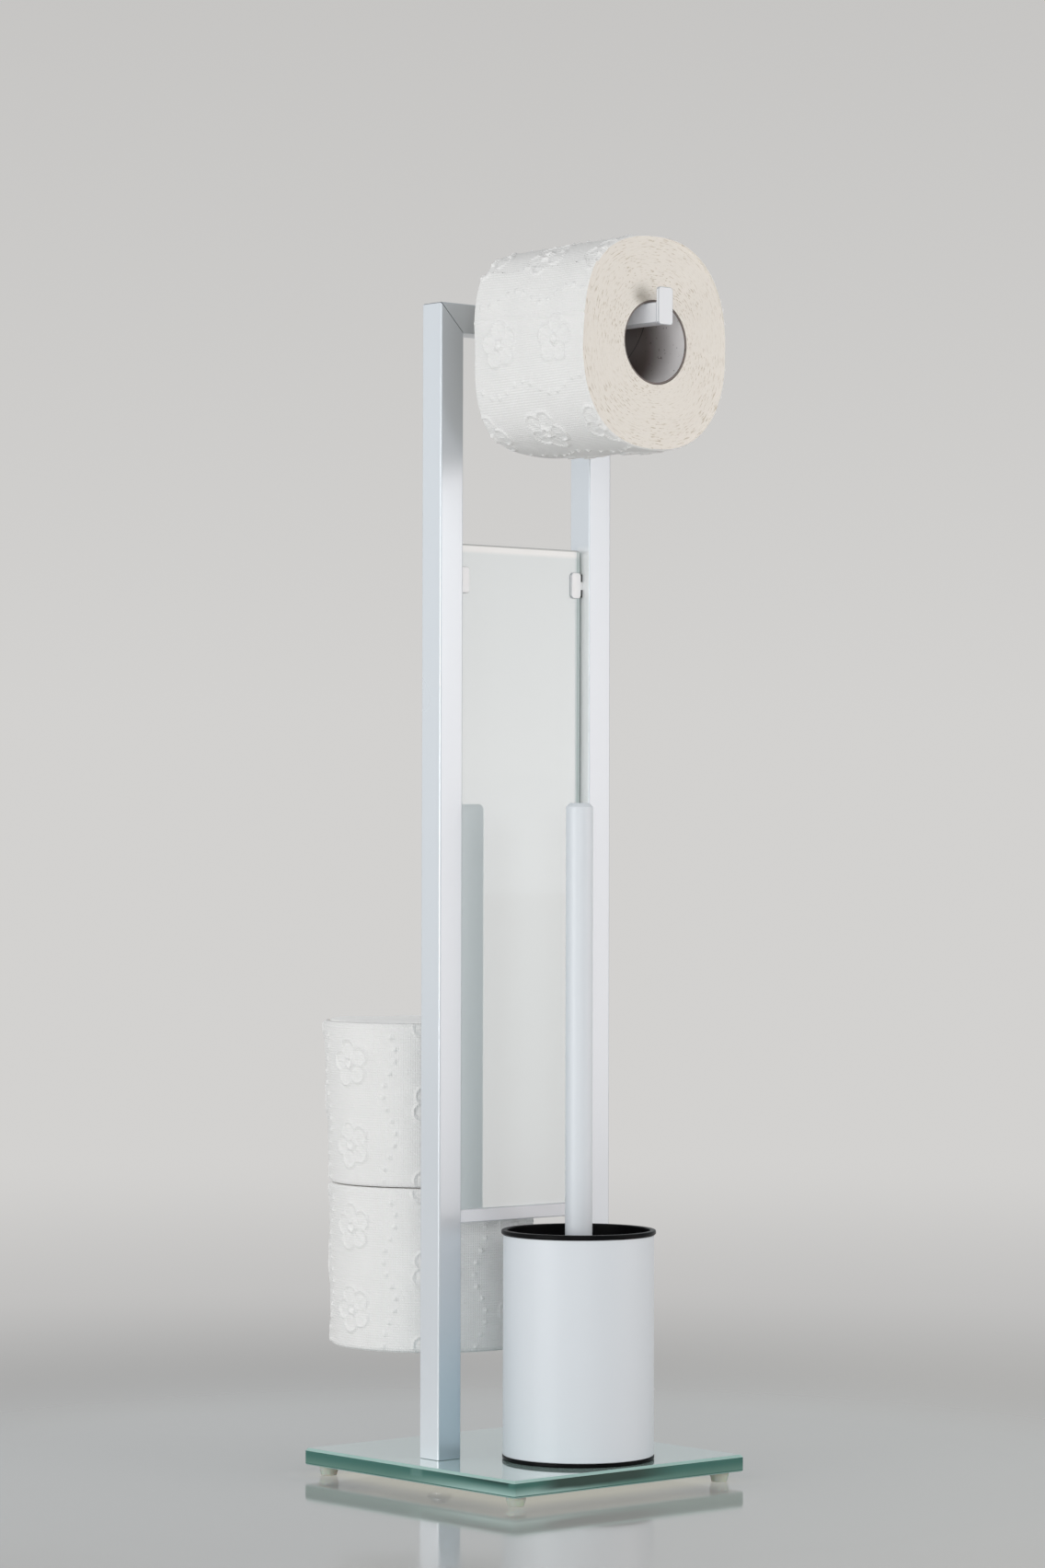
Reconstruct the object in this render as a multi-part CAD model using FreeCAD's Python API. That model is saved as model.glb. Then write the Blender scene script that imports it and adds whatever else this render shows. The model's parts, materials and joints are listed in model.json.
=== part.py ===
"""Free-standing toilet roll stand: glass base, white square-tube frame with a glass back panel,
an arm for the roll in use, a post for spare rolls behind the frame, and a brush in a cup.

Millimetres, +Z up, +X along the crossbar, -Y is the front (arm and cup), +Y the back (spare rolls).
Everything is laid out about the middle of the glass base on the floor, and moved on export so that
the origin lies on the floor under the middle of the whole stand.
"""
import FreeCAD, Part
import math
import os
from FreeCAD import Vector

# Driving dimensions: base
base_width = 182.0
base_depth = 193.0
base_thickness = 10.0
base_top_bevel = 1.5
base_bottom_bevel = 0.7
base_corner_bevel = 1.0
foot_height = 6.0
foot_diameter = 11.5
foot_inset = 10.5
foot_sole_share = 0.8
foot_taper_share = 0.6

# Driving dimensions: frame
tube_size = 17.6
tube_wall = 1.2
tube_corner_radius = 0.8
frame_height = 686.0
frame_width = 135.8
frame_set_back = 7.3
mitre_gap = 0.2
insert_leg = 26.0
plug_height = 16.0

# Driving dimensions: glass panel, its carrier bar and its clips
bar_height = 8.0
bar_depth = 8.0
bar_corner_radius = 0.8
bar_clear_height = 139.0
groove_depth = 3.0
panel_thickness = 4.0
panel_height = 398.8
panel_side_gap = 1.2
panel_set_back = 6.7
panel_corner_radius = 2.5
panel_edge_bevel = 0.4
seat_strip = 0.8
clip_height = 15.7
clip_width = 7.8
clip_edge_inset = 0.6
clip_plate = 1.0
clip_bridge_height = 4.8
clip_corner_radius = 2.2
clip_drop = 13.6
clip_pad = 0.3
clip_stud_diameter = 3.0
clip_stud_reach = 3.5

# Driving dimensions: roll arm
arm_size = 12.0
arm_wall = 1.5
arm_corner_radius = 1.2
arm_length = 120.4
arm_below_top = 18.0
stop_width = 11.4
stop_height = 22.0
stop_below_arm = 1.0
stop_thickness = 2.0
stop_corner_radius = 3.0
arm_insert_length = 16.0

# Driving dimensions: spare roll post
post_diameter = 10.0
post_height = 236.0
post_from_back = 16.5
post_flange_diameter = 17.0
post_flange_height = 3.0
post_cap_height = 5.0
tray_diameter = 56.0
tray_thickness = 2.0
tray_clear_height = 57.9
tray_hub_diameter = 17.0
tray_hub_height = 9.0
grub_diameter = 3.0

# Driving dimensions: fasteners
bolt_diameter = 6.0
bolt_head_diameter = 10.5
bolt_head_height = 3.2
bolt_hex = 4.0
bolt_hex_depth = 1.8
washer_diameter = 14.0
washer_thickness = 1.0
bolt_depth_in_plug = 11.0
arm_bolt_diameter = 5.0
arm_bolt_head_diameter = 9.5
arm_bolt_head_height = 2.7
arm_bolt_hex = 3.0

# Driving dimensions: toilet rolls
roll_length = 97.0
spare_roll_length = 99.0
roll_core_radius = 23.5
spare_core_radius = 21.0
core_wall = 1.2
hung_roll_width = 112.5
hung_roll_tall = 126.0
hung_roll_from_stop = 7.0
oval_squareness = 2.45
oval_points = 12
spare_roll_diameter = 124.0
upper_spare_extra = 4.0
spare_roll_behind_post = 5.2
roll_edge_bevel = 1.5

# Driving dimensions: brush cup
cup_centre_x = 4.0
cup_centre_y = -45.0
cup_diameter = 89.8
cup_height = 135.4
cup_wall = 0.8
cup_ring_height = 2.2
cup_ring_proud = 0.3
cup_ring_width = 7.0
cup_ring_upstand = 2.0
rim_diameter = 92.0
rim_height = 2.9
rim_edge_bevel = 1.0
liner_wall = 1.6
liner_floor = 2.0
liner_floor_gap = 0.5

# Driving dimensions: brush
handle_diameter = 16.2
handle_wall = 0.8
handle_top = 389.0
handle_cap_height = 4.0
handle_cap_bevel = 2.2
cap_spigot_height = 10.0
head_diameter = 26.0
head_length = 62.0
head_neck_diameter = 14.2
head_neck_length = 14.0
stud_diameter = 6.0
stud_length = 22.0
socket_plug_length = 18.0
tuft_rows = 5
tufts_per_row = 10
tuft_diameter = 3.2
tuft_length = 20.0
end_tufts = 6
end_tuft_slope = 50.0

# Named clearances
slip_fit = 0.05
thread_fit = 0.05
press_gap = 0.1
glass_hole_clearance = 1.0
rest_gap = 0.3
hang_gap = 0.3
groove_clearance = 0.4

# Levels and planes that follow from the driving dimensions
base_bottom = foot_height
base_top = base_bottom + base_thickness
frame_top = base_top + frame_height
frame_front = frame_set_back - tube_size / 2
frame_back = frame_front + tube_size
tube_bore = tube_size - 2 * tube_wall
bore_corner_radius = max(tube_corner_radius - tube_wall, 0.2)
plug_half = tube_bore / 2 - slip_fit - bore_corner_radius * (1 - math.sqrt(0.5))
upright_x = (frame_width - tube_size) / 2
inner_half = frame_width / 2 - tube_size
bar_bottom = base_top + bar_clear_height
bar_top = bar_bottom + bar_height
panel_front = frame_front + panel_set_back
panel_middle = panel_front + panel_thickness / 2
panel_back = panel_front + panel_thickness
panel_bottom = bar_top - groove_depth + seat_strip
panel_top = panel_bottom + panel_height
panel_half = inner_half - panel_side_gap
clip_top = panel_top - clip_drop
clip_middle = clip_top - clip_height / 2
arm_bottom = frame_top - arm_below_top
arm_top = arm_bottom + arm_size
arm_middle = arm_bottom + arm_size / 2
stop_bottom = arm_bottom - stop_below_arm
arm_tip = frame_front - arm_length
stop_front = arm_tip - stop_thickness
arm_rest_half = (arm_size - arm_corner_radius) / 2
hung_axis_z = arm_top + hang_gap - math.sqrt(roll_core_radius ** 2 - arm_rest_half ** 2)
hung_front = arm_tip + hung_roll_from_stop
post_y = base_depth / 2 - post_from_back
tray_top = base_top + tray_clear_height
spare_y = post_y + spare_roll_behind_post
lower_spare_bottom = tray_top + rest_gap
upper_spare_bottom = lower_spare_bottom + spare_roll_length + rest_gap
ring_top = base_top + rest_gap + cup_ring_height
cup_bottom = base_top + rest_gap
rim_bottom = cup_bottom + cup_height - rim_height
liner_radius = cup_diameter / 2 - cup_wall - slip_fit
liner_bottom = ring_top + cup_ring_upstand + liner_floor_gap
liner_inside_floor = liner_bottom + liner_floor
head_bottom = liner_inside_floor + rest_gap + tuft_length + press_gap
head_top = head_bottom + head_length
neck_top = head_top + head_neck_length
spare_back = spare_y + (spare_roll_diameter + max(upper_spare_extra, 0)) / 2
origin_y = (stop_front + spare_back) / 2

up = Vector(0, 0, 1)
back = Vector(0, 1, 0)
right = Vector(1, 0, 0)


def block(x0, x1, y0, y1, z0, z1):
    """A box between two corners."""
    return Part.makeBox(x1 - x0, y1 - y0, z1 - z0, Vector(x0, y0, z0))


def rod(diameter, length, start, direction=up):
    """A round bar from a start point along a direction."""
    return Part.makeCylinder(diameter / 2, length, start, direction)


def edges_along(shape, direction):
    """The straight edges of a shape that run along a direction."""
    found = []
    for edge in shape.Edges:
        if isinstance(edge.Curve, Part.Line) and abs(abs(edge.Curve.Direction.dot(direction)) - 1) < 1e-6:
            found.append(edge)
    return found


def round_bar(x0, x1, y0, y1, z0, z1, direction, radius):
    """A rectangular bar with its long edges rounded."""
    bar = block(x0, x1, y0, y1, z0, z1)
    return bar.makeFillet(radius, edges_along(bar, direction))


def hex_prism(width, depth, start, direction):
    """A hexagonal prism, its width across flats, along a direction."""
    corner = width / math.sqrt(3)
    points = []
    for i in range(7):
        angle = math.radians(60 * i)
        points.append(Vector(corner * math.cos(angle), corner * math.sin(angle), 0))
    prism = Part.Face(Part.makePolygon(points)).extrude(Vector(0, 0, depth))
    prism.Placement = FreeCAD.Placement(start, FreeCAD.Rotation(up, direction))
    return prism


def button_bolt(diameter, length, head_diameter, head_height, hexagon, seat, direction):
    """A button-head bolt whose head sits on a seat and whose shank runs along a direction."""
    head_r = head_diameter / 2
    shank_r = diameter / 2
    bolt = turned([
        (0, -head_height), (head_r * 0.65, -head_height), (head_r, -head_height * 0.4), (head_r, 0),
        (shank_r, 0), (shank_r, length), (0, length),
    ])
    bolt = bolt.cut(hex_prism(hexagon, bolt_hex_depth, Vector(0, 0, -head_height), up))
    bolt.Placement = FreeCAD.Placement(seat, FreeCAD.Rotation(up, direction))
    return bolt


def mirrored(shape):
    """The same piece on the other side of the stand."""
    return shape.mirror(Vector(0, 0, 0), right)


def turned(points):
    """A solid of revolution about +Z from a closed outline of radius and height pairs."""
    corners = [Vector(r, 0, z) for r, z in points]
    outline = Part.makePolygon(corners + corners[:1])
    return Part.Face(outline).revolve(Vector(0, 0, 0), up, 360)


# Base

def bolt_places():
    """Where bolts come up through the glass: the two uprights and the spare roll post."""
    return [
        Vector(-upright_x, frame_set_back, base_bottom),
        Vector(upright_x, frame_set_back, base_bottom),
        Vector(0, post_y, base_bottom),
    ]


def base_plate():
    """Float glass with bevelled, polished edges and a drilled hole for each bolt."""
    plate = block(-base_width / 2, base_width / 2, -base_depth / 2, base_depth / 2, base_bottom, base_top)
    plate = plate.makeChamfer(base_corner_bevel, edges_along(plate, up))
    top_edges = [e for e in plate.Edges if e.BoundBox.ZMin > base_top - 1e-6]
    plate = plate.makeChamfer(base_top_bevel, top_edges)
    low_edges = [e for e in plate.Edges if e.BoundBox.ZMax < base_bottom + 1e-6]
    plate = plate.makeChamfer(base_bottom_bevel, low_edges)
    for place in bolt_places():
        plate = plate.cut(rod(bolt_diameter + 2 * glass_hole_clearance, base_thickness, place))
    return plate


def foot(x, y):
    """A clear bumper foot, drawn in to a flat sole."""
    radius = foot_diameter / 2
    bumper = turned([
        (0, 0), (radius * foot_sole_share, 0), (radius, foot_height * foot_taper_share),
        (radius, foot_height), (0, foot_height),
    ])
    bumper.translate(Vector(x, y, 0))
    return bumper


def base_bolts():
    """Three button-head bolts, heads under the glass."""
    bolts = []
    for place in bolt_places():
        seat = place - up * washer_thickness
        length = washer_thickness + base_thickness + bolt_depth_in_plug
        bolts.append(button_bolt(bolt_diameter, length, bolt_head_diameter, bolt_head_height,
                                 bolt_hex, seat, up))
    return Part.makeCompound(bolts)


def base_washers():
    """Nylon washers that keep the bolt heads off the glass."""
    washers = []
    for place in bolt_places():
        low = place - up * washer_thickness
        disc = rod(washer_diameter, washer_thickness, low)
        washers.append(disc.cut(rod(bolt_diameter + 2 * thread_fit, washer_thickness, low)))
    return Part.makeCompound(washers)


# Frame

def square_tube(x0, x1, y0, y1, z0, z1, direction):
    """Square tube with rounded edges, open at both ends."""
    outside = round_bar(x0, x1, y0, y1, z0, z1, direction, tube_corner_radius)
    inset = Vector(tube_wall, tube_wall, tube_wall)
    run = Vector(abs(direction.x), abs(direction.y), abs(direction.z))
    low = Vector(x0, y0, z0) + inset - run * (tube_wall + 1)
    high = Vector(x1, y1, z1) - inset + run * (tube_wall + 1)
    bore = round_bar(low.x, high.x, low.y, high.y, low.z, high.z, direction, bore_corner_radius)
    return outside.cut(bore)


def mitre_wedge(gap_side):
    """Everything beyond the 45 degree mitre plane at the left top corner, on one side of its gap."""
    far = tube_size * 4
    shift = gap_side * mitre_gap / math.sqrt(2)
    corner = Vector(-frame_width / 2 + shift, frame_front - far, frame_top)
    inner = corner + Vector(far, 0, -far)
    outer = corner + Vector(-far, 0, far)
    third = Vector(far, 0, far) if gap_side < 0 else Vector(-far, 0, -far)
    outline = Part.makePolygon([inner, outer, outer + third, inner + third, inner])
    return Part.Face(outline).extrude(Vector(0, tube_size + 2 * far, 0))


def left_upright():
    """Left post of the frame, mitred at the top, with a hole for the clip's stud."""
    tube = square_tube(-frame_width / 2, -inner_half, frame_front, frame_back, base_top, frame_top, up)
    tube = tube.cut(mitre_wedge(-1))
    hole = rod(clip_stud_diameter + 2 * thread_fit, tube_wall * 3,
               Vector(-inner_half - tube_wall * 2, panel_middle, clip_middle), right)
    return tube.cut(hole)


def top_crossbar():
    """Top of the frame, mitred at both ends, drilled through for the arm's bolt."""
    tube = square_tube(-frame_width / 2, frame_width / 2, frame_front, frame_back,
                       frame_top - tube_size, frame_top, right)
    wedge = mitre_wedge(1)
    tube = tube.cut(wedge).cut(mirrored(wedge))
    hole = rod(arm_bolt_diameter + 2 * thread_fit, tube_size * 2,
               Vector(0, frame_front - tube_size / 2, arm_middle), back)
    return tube.cut(hole)


def left_corner_insert():
    """Moulded L-shaped key with split legs that holds the mitred corner together from inside."""
    half = plug_half
    x = -upright_x
    z = frame_top - tube_size / 2
    y0 = frame_set_back - half
    y1 = frame_set_back + half
    key = block(x - half, x + half, y0, y1, z - half - insert_leg, z + half)
    key = key.fuse(block(x - half, x + half + insert_leg, y0, y1, z - half, z + half)).removeSplitter()
    split = half * 0.45
    split_start = half + insert_leg * 0.3
    leg_end = half + insert_leg
    key = key.cut(block(x - split, x + split, y0, y1, z - leg_end, z - split_start))
    return key.cut(block(x + split_start, x + leg_end, y0, y1, z - split, z + split))


def left_foot_plug():
    """Threaded steel plug in the foot of the upright, which the base bolt draws down."""
    plug = block(-upright_x - plug_half, -upright_x + plug_half, frame_set_back - plug_half,
                 frame_set_back + plug_half, base_top, base_top + plug_height)
    return plug.cut(rod(bolt_diameter + 2 * thread_fit, plug_height,
                        Vector(-upright_x, frame_set_back, base_top)))


# Glass panel, carrier bar and clips

def lower_crossbar():
    """Slim bar between the uprights, grooved along its top for the panel."""
    bar = round_bar(-inner_half, inner_half, panel_middle - bar_depth / 2, panel_middle + bar_depth / 2,
                    bar_bottom, bar_top, right, bar_corner_radius)
    groove_half = (panel_thickness + groove_clearance) / 2
    end_stop = panel_side_gap - groove_clearance
    return bar.cut(block(-inner_half + end_stop, inner_half - end_stop, panel_middle - groove_half,
                         panel_middle + groove_half, bar_top - groove_depth, bar_top))


def panel_seat_strip():
    """Soft strip in the groove that the glass stands on."""
    return block(-panel_half, panel_half, panel_front, panel_back,
                 bar_top - groove_depth, bar_top - groove_depth + seat_strip)


def glass_panel():
    """Back panel with rounded top corners and ground edges."""
    panel = block(-panel_half, panel_half, panel_front, panel_back, panel_bottom, panel_top)
    top_corners = [e for e in edges_along(panel, back) if e.BoundBox.ZMin > panel_top - 1e-6]
    panel = panel.makeFillet(panel_corner_radius, top_corners)
    rims = [e for e in panel.Edges if e.BoundBox.YLength < 1e-6 and e.BoundBox.ZMax > panel_bottom + 1]
    return panel.makeChamfer(panel_edge_bevel, rims)


def left_clip():
    """Two jaws on the panel's face and back, joined past its edge by a bridge that meets the upright."""
    x_out = -panel_half + clip_edge_inset
    x_in = x_out + clip_width
    low = clip_top - clip_height
    front_jaw = round_jaw(x_out, x_in, panel_front - clip_pad - clip_plate, low)
    rims = [e for e in front_jaw.Edges if e.BoundBox.YMax < front_jaw.BoundBox.YMin + 1e-6]
    front_jaw = front_jaw.makeChamfer(clip_plate * 0.3, rims)
    back_jaw = round_jaw(x_out, x_in, panel_back + clip_pad, low)
    bridge_low = clip_middle - clip_bridge_height / 2
    bridge = block(-inner_half + slip_fit, x_out + clip_bridge_height / 2, panel_front - clip_pad - clip_plate * 0.7,
                   panel_back + clip_pad + clip_plate, bridge_low, bridge_low + clip_bridge_height)
    mouth = block(-panel_half - press_gap, 0, panel_front - clip_pad, panel_back + clip_pad, low, clip_top)
    clip = front_jaw.fuse([back_jaw, bridge.cut(mouth)]).removeSplitter()
    return clip.cut(rod(clip_stud_diameter + 2 * thread_fit, inner_half,
                        Vector(-inner_half, panel_middle, clip_middle), right))


def round_jaw(x0, x1, y, low):
    """One flat jaw of a clip with rounded corners."""
    jaw = block(x0, x1, y, y + clip_plate, low, clip_top)
    return jaw.makeFillet(clip_corner_radius, edges_along(jaw, back))


def clip_pads():
    """Dark liners folded round the panel's edge inside each clip, notched for the bridge."""
    x_in = -panel_half + clip_edge_inset + clip_width - clip_plate
    x_out = -inner_half + press_gap
    inset = clip_corner_radius * 0.4
    low = clip_top - clip_height + inset
    high = clip_top - inset
    liner = block(x_out, x_in, panel_front - clip_pad, panel_back + clip_pad, low, high)
    liner = liner.cut(block(-panel_half, x_in, panel_front, panel_back, low, high))
    notch_half = clip_bridge_height / 2 + press_gap
    notch = block(x_out, -panel_half, panel_front - clip_pad, panel_back + clip_pad,
                  clip_middle - notch_half, clip_middle + notch_half)
    liner = liner.cut(notch)
    return Part.makeCompound([liner, mirrored(liner)])


def clip_studs():
    """Threaded studs that fix each clip to the inner wall of its upright."""
    reach = panel_side_gap - press_gap - slip_fit
    stud = rod(clip_stud_diameter, clip_stud_reach + reach,
               Vector(-inner_half - clip_stud_reach, panel_middle, clip_middle), right)
    return Part.makeCompound([stud, mirrored(stud)])


# Roll arm

def roll_arm():
    """Square tube that carries the roll in use."""
    half = arm_size / 2
    bar = round_bar(-half, half, arm_tip, frame_front, arm_bottom, arm_top, back, arm_corner_radius)
    bore_half = half - arm_wall
    return bar.cut(block(-bore_half, bore_half, arm_tip, frame_front,
                         arm_middle - bore_half, arm_middle + bore_half))


def arm_end_plate():
    """Upright stop at the tip of the arm that keeps the roll on."""
    half = stop_width / 2
    plate = block(-half, half, stop_front, arm_tip, stop_bottom, stop_bottom + stop_height)
    high = [e for e in edges_along(plate, back) if e.BoundBox.ZMin > stop_bottom + stop_height / 2]
    plate = plate.makeFillet(stop_corner_radius, high)
    low = [e for e in edges_along(plate, back) if e.BoundBox.ZMax < stop_bottom + 1e-6]
    plate = plate.makeFillet(stop_corner_radius * 0.4, low)
    rims = [e for e in plate.Edges if e.BoundBox.YMax < stop_front + 1e-6]
    return plate.makeChamfer(stop_thickness * 0.25, rims)


def arm_insert():
    """Threaded plug in the root of the arm."""
    half = arm_size / 2 - arm_wall - slip_fit
    plug = block(-half, half, frame_front - arm_insert_length, frame_front,
                 arm_middle - half, arm_middle + half)
    return plug.cut(rod(arm_bolt_diameter + 2 * thread_fit, arm_insert_length,
                        Vector(0, frame_front - arm_insert_length, arm_middle), back))


def arm_bolt():
    """Bolt from the back of the crossbar into the arm."""
    length = tube_size + arm_insert_length * 0.8
    return button_bolt(arm_bolt_diameter, length, arm_bolt_head_diameter, arm_bolt_head_height,
                       arm_bolt_hex, Vector(0, frame_back, arm_middle), Vector(0, -1, 0))


# Spare roll post

def spare_post():
    """Turned post with a flange on the glass, tapped for its bolt."""
    post = rod(post_diameter, post_height, Vector(0, post_y, base_top))
    flange = rod(post_flange_diameter, post_flange_height, Vector(0, post_y, base_top))
    post = post.fuse(flange).removeSplitter()
    return post.cut(rod(bolt_diameter + 2 * thread_fit, bolt_depth_in_plug + 2, Vector(0, post_y, base_top)))


def spare_post_cap():
    """Bevelled end cap on the post."""
    low = base_top + post_height
    cap = rod(post_diameter, post_cap_height, Vector(0, post_y, low))
    return cap.makeChamfer(post_cap_height * 0.5, [e for e in cap.Edges if e.BoundBox.ZMin > low + 1e-6])


def spare_tray():
    """Round tray on a hub that holds the spare rolls up off the base."""
    low = tray_top - tray_thickness
    disc = rod(tray_diameter, tray_thickness, Vector(0, post_y, low))
    hub = rod(tray_hub_diameter, tray_hub_height, Vector(0, post_y, low - tray_hub_height))
    tray = disc.fuse(hub).removeSplitter()
    tray = tray.cut(rod(post_diameter + 2 * slip_fit, tray_hub_height * 4,
                        Vector(0, post_y, low - tray_hub_height * 2)))
    return tray.cut(rod(grub_diameter + 2 * thread_fit, tray_hub_diameter,
                        Vector(0, post_y, low - tray_hub_height / 2), back))


def tray_grub_screw():
    """Grub screw that locks the tray to the post, from the back."""
    start = Vector(0, post_y + post_diameter / 2 + slip_fit, tray_top - tray_thickness - tray_hub_height / 2)
    length = (tray_hub_diameter - post_diameter) / 2 - 2 * slip_fit
    grub = rod(grub_diameter, length, start, back)
    return grub.cut(hex_prism(grub_diameter * 0.5, length * 0.5, start + back * length * 0.5, back))


# Toilet rolls

def spare_core(bottom):
    """Cardboard core of a spare roll."""
    start = Vector(0, spare_y, bottom)
    tube = rod(2 * (spare_core_radius + core_wall), spare_roll_length, start)
    return tube.cut(rod(2 * spare_core_radius, spare_roll_length, start))


def spare_paper(bottom, diameter):
    """Wound paper of a spare roll."""
    start = Vector(0, spare_y, bottom)
    body = rod(diameter, spare_roll_length, start)
    body = body.makeChamfer(roll_edge_bevel, [e for e in body.Edges if isinstance(e.Curve, Part.Circle)])
    return body.cut(rod(2 * (spare_core_radius + core_wall + press_gap), spare_roll_length, start))


def hung_core():
    """Cardboard core of the roll in use, hanging from the arm."""
    start = Vector(0, hung_front, hung_axis_z)
    tube = rod(2 * (roll_core_radius + core_wall), roll_length, start, back)
    return tube.cut(rod(2 * roll_core_radius, roll_length, start, back))


def hung_outline():
    """Closed outline of the hanging roll's front end: a soft, slightly squared oval."""
    points = []
    for i in range(oval_points):
        angle = 2 * math.pi * i / oval_points
        across = math.copysign(abs(math.cos(angle)) ** (2 / oval_squareness), math.cos(angle))
        along = math.copysign(abs(math.sin(angle)) ** (2 / oval_squareness), math.sin(angle))
        x = across * hung_roll_width / 2
        z = hung_axis_z + along * hung_roll_tall / 2
        points.append(Vector(x, hung_front, z))
    curve = Part.BSplineCurve()
    curve.interpolate(points, PeriodicFlag=True)
    return Part.Wire(curve.toShape())


def hung_paper():
    """Wound paper of the roll in use, squeezed into an upright oval by its packing."""
    body = Part.Face(hung_outline()).extrude(back * roll_length)
    rims = [e for e in body.Edges if e.BoundBox.YLength < 1e-3]
    body = body.makeChamfer(roll_edge_bevel, rims)
    return body.cut(rod(2 * (roll_core_radius + core_wall + press_gap), roll_length,
                        Vector(0, hung_front, hung_axis_z), back))


# Brush cup

def at_cup(shape):
    """Move a piece made about the Z axis to the cup's place on the base."""
    shape.translate(Vector(cup_centre_x, cup_centre_y, 0))
    return shape


def cup_base_ring():
    """Black ring under the cup, with an upstand that centres the shell."""
    outer = cup_diameter / 2 + cup_ring_proud
    inner = outer - cup_ring_width
    lip = cup_diameter / 2 - cup_wall - slip_fit
    return at_cup(turned([
        (inner, cup_bottom), (outer, cup_bottom), (outer, ring_top), (lip, ring_top),
        (lip, ring_top + cup_ring_upstand), (inner, ring_top + cup_ring_upstand),
    ]))


def cup_shell():
    """Rolled steel sleeve of the cup."""
    outer = cup_diameter / 2
    inner = outer - cup_wall
    return at_cup(turned([(inner, ring_top), (outer, ring_top), (outer, rim_bottom), (inner, rim_bottom)]))


def cup_liner():
    """Black pot that drops into the shell and hangs by its rim."""
    rim = rim_diameter / 2
    top = rim_bottom + rim_height
    foot_r = liner_radius - liner_floor
    inner = liner_radius - liner_wall
    return at_cup(turned([
        (0, liner_bottom), (foot_r, liner_bottom), (liner_radius, liner_bottom + liner_floor),
        (liner_radius, rim_bottom), (rim, rim_bottom), (rim, top - rim_edge_bevel),
        (rim - rim_edge_bevel, top), (inner, top), (inner, liner_inside_floor), (0, liner_inside_floor),
    ]))


# Brush

def handle_tube():
    """White handle tube, open at both ends."""
    outer = handle_diameter / 2
    inner = outer - handle_wall
    top = base_top + handle_top - handle_cap_height
    return at_cup(turned([(inner, neck_top), (outer, neck_top), (outer, top), (inner, top)]))


def handle_cap():
    """Bevelled cap with a spigot inside the tube."""
    outer = handle_diameter / 2
    spigot = outer - handle_wall - slip_fit
    top = base_top + handle_top
    seat = top - handle_cap_height
    return at_cup(turned([
        (0, seat - cap_spigot_height), (spigot, seat - cap_spigot_height), (spigot, seat), (outer, seat),
        (outer, top - handle_cap_bevel), (outer - handle_cap_bevel, top), (0, top),
    ]))


def handle_socket():
    """Threaded bush pressed into the lower end of the handle."""
    outer = handle_diameter / 2 - handle_wall - slip_fit
    bore = stud_diameter / 2 + thread_fit
    return at_cup(turned([(bore, neck_top), (outer, neck_top), (outer, neck_top + socket_plug_length),
                          (bore, neck_top + socket_plug_length)]))


def brush_stud():
    """Threaded stud that joins the head to the handle."""
    half = stud_length / 2
    return at_cup(rod(stud_diameter, stud_length, Vector(0, 0, neck_top - half)))


def tuft_axes():
    """Root and direction of every bristle tuft, square to the head's surface, about the Z axis."""
    axes = []
    root = head_diameter / 2 + press_gap
    dome = up * (head_bottom + head_diameter / 2)
    pitch = (head_length - head_diameter / 2 - tuft_diameter) / (tuft_rows - 1)
    for row in range(tuft_rows):
        for i in range(tufts_per_row):
            angle = 2 * math.pi * (i + 0.5 * (row % 2)) / tufts_per_row
            out = Vector(math.cos(angle), math.sin(angle), 0)
            axes.append((dome + up * (row * pitch) + out * root, out))
    for i in range(end_tufts):
        angle = 2 * math.pi * i / end_tufts
        out = Vector(math.cos(angle), math.sin(angle), 0)
        slope = math.radians(end_tuft_slope)
        direction = out * math.cos(slope) - up * math.sin(slope)
        axes.append((dome + direction * root, direction))
    axes.append((dome - up * root, -up))
    return axes


def tuft(start, direction):
    """One bristle tuft, clenched to a hexagon where it is set."""
    return hex_prism(tuft_diameter, tuft_length, start, direction)


def brush_head():
    """Moulded head with a rounded end and a neck for the handle."""
    outer = head_diameter / 2
    neck = head_neck_diameter / 2
    shoulder = head_top + head_neck_length * 0.4
    body = turned([
        (0, head_bottom + outer), (outer, head_bottom + outer), (outer, head_top), (neck, shoulder),
        (neck, neck_top), (0, neck_top),
    ])
    dome = Part.makeSphere(outer, Vector(0, 0, head_bottom + outer), up, -90, 0, 360)
    half_stud = stud_length / 2
    bore = rod(stud_diameter + 2 * thread_fit, half_stud, Vector(0, 0, neck_top - half_stud))
    return at_cup(body.fuse(dome).removeSplitter().cut(bore))


def brush_bristles():
    """Bristle tufts in staggered rows, with a fan of tufts at the end."""
    return at_cup(Part.makeCompound([tuft(start, direction) for start, direction in tuft_axes()]))


foot_x = base_width / 2 - foot_inset
foot_y = base_depth / 2 - foot_inset

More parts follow.
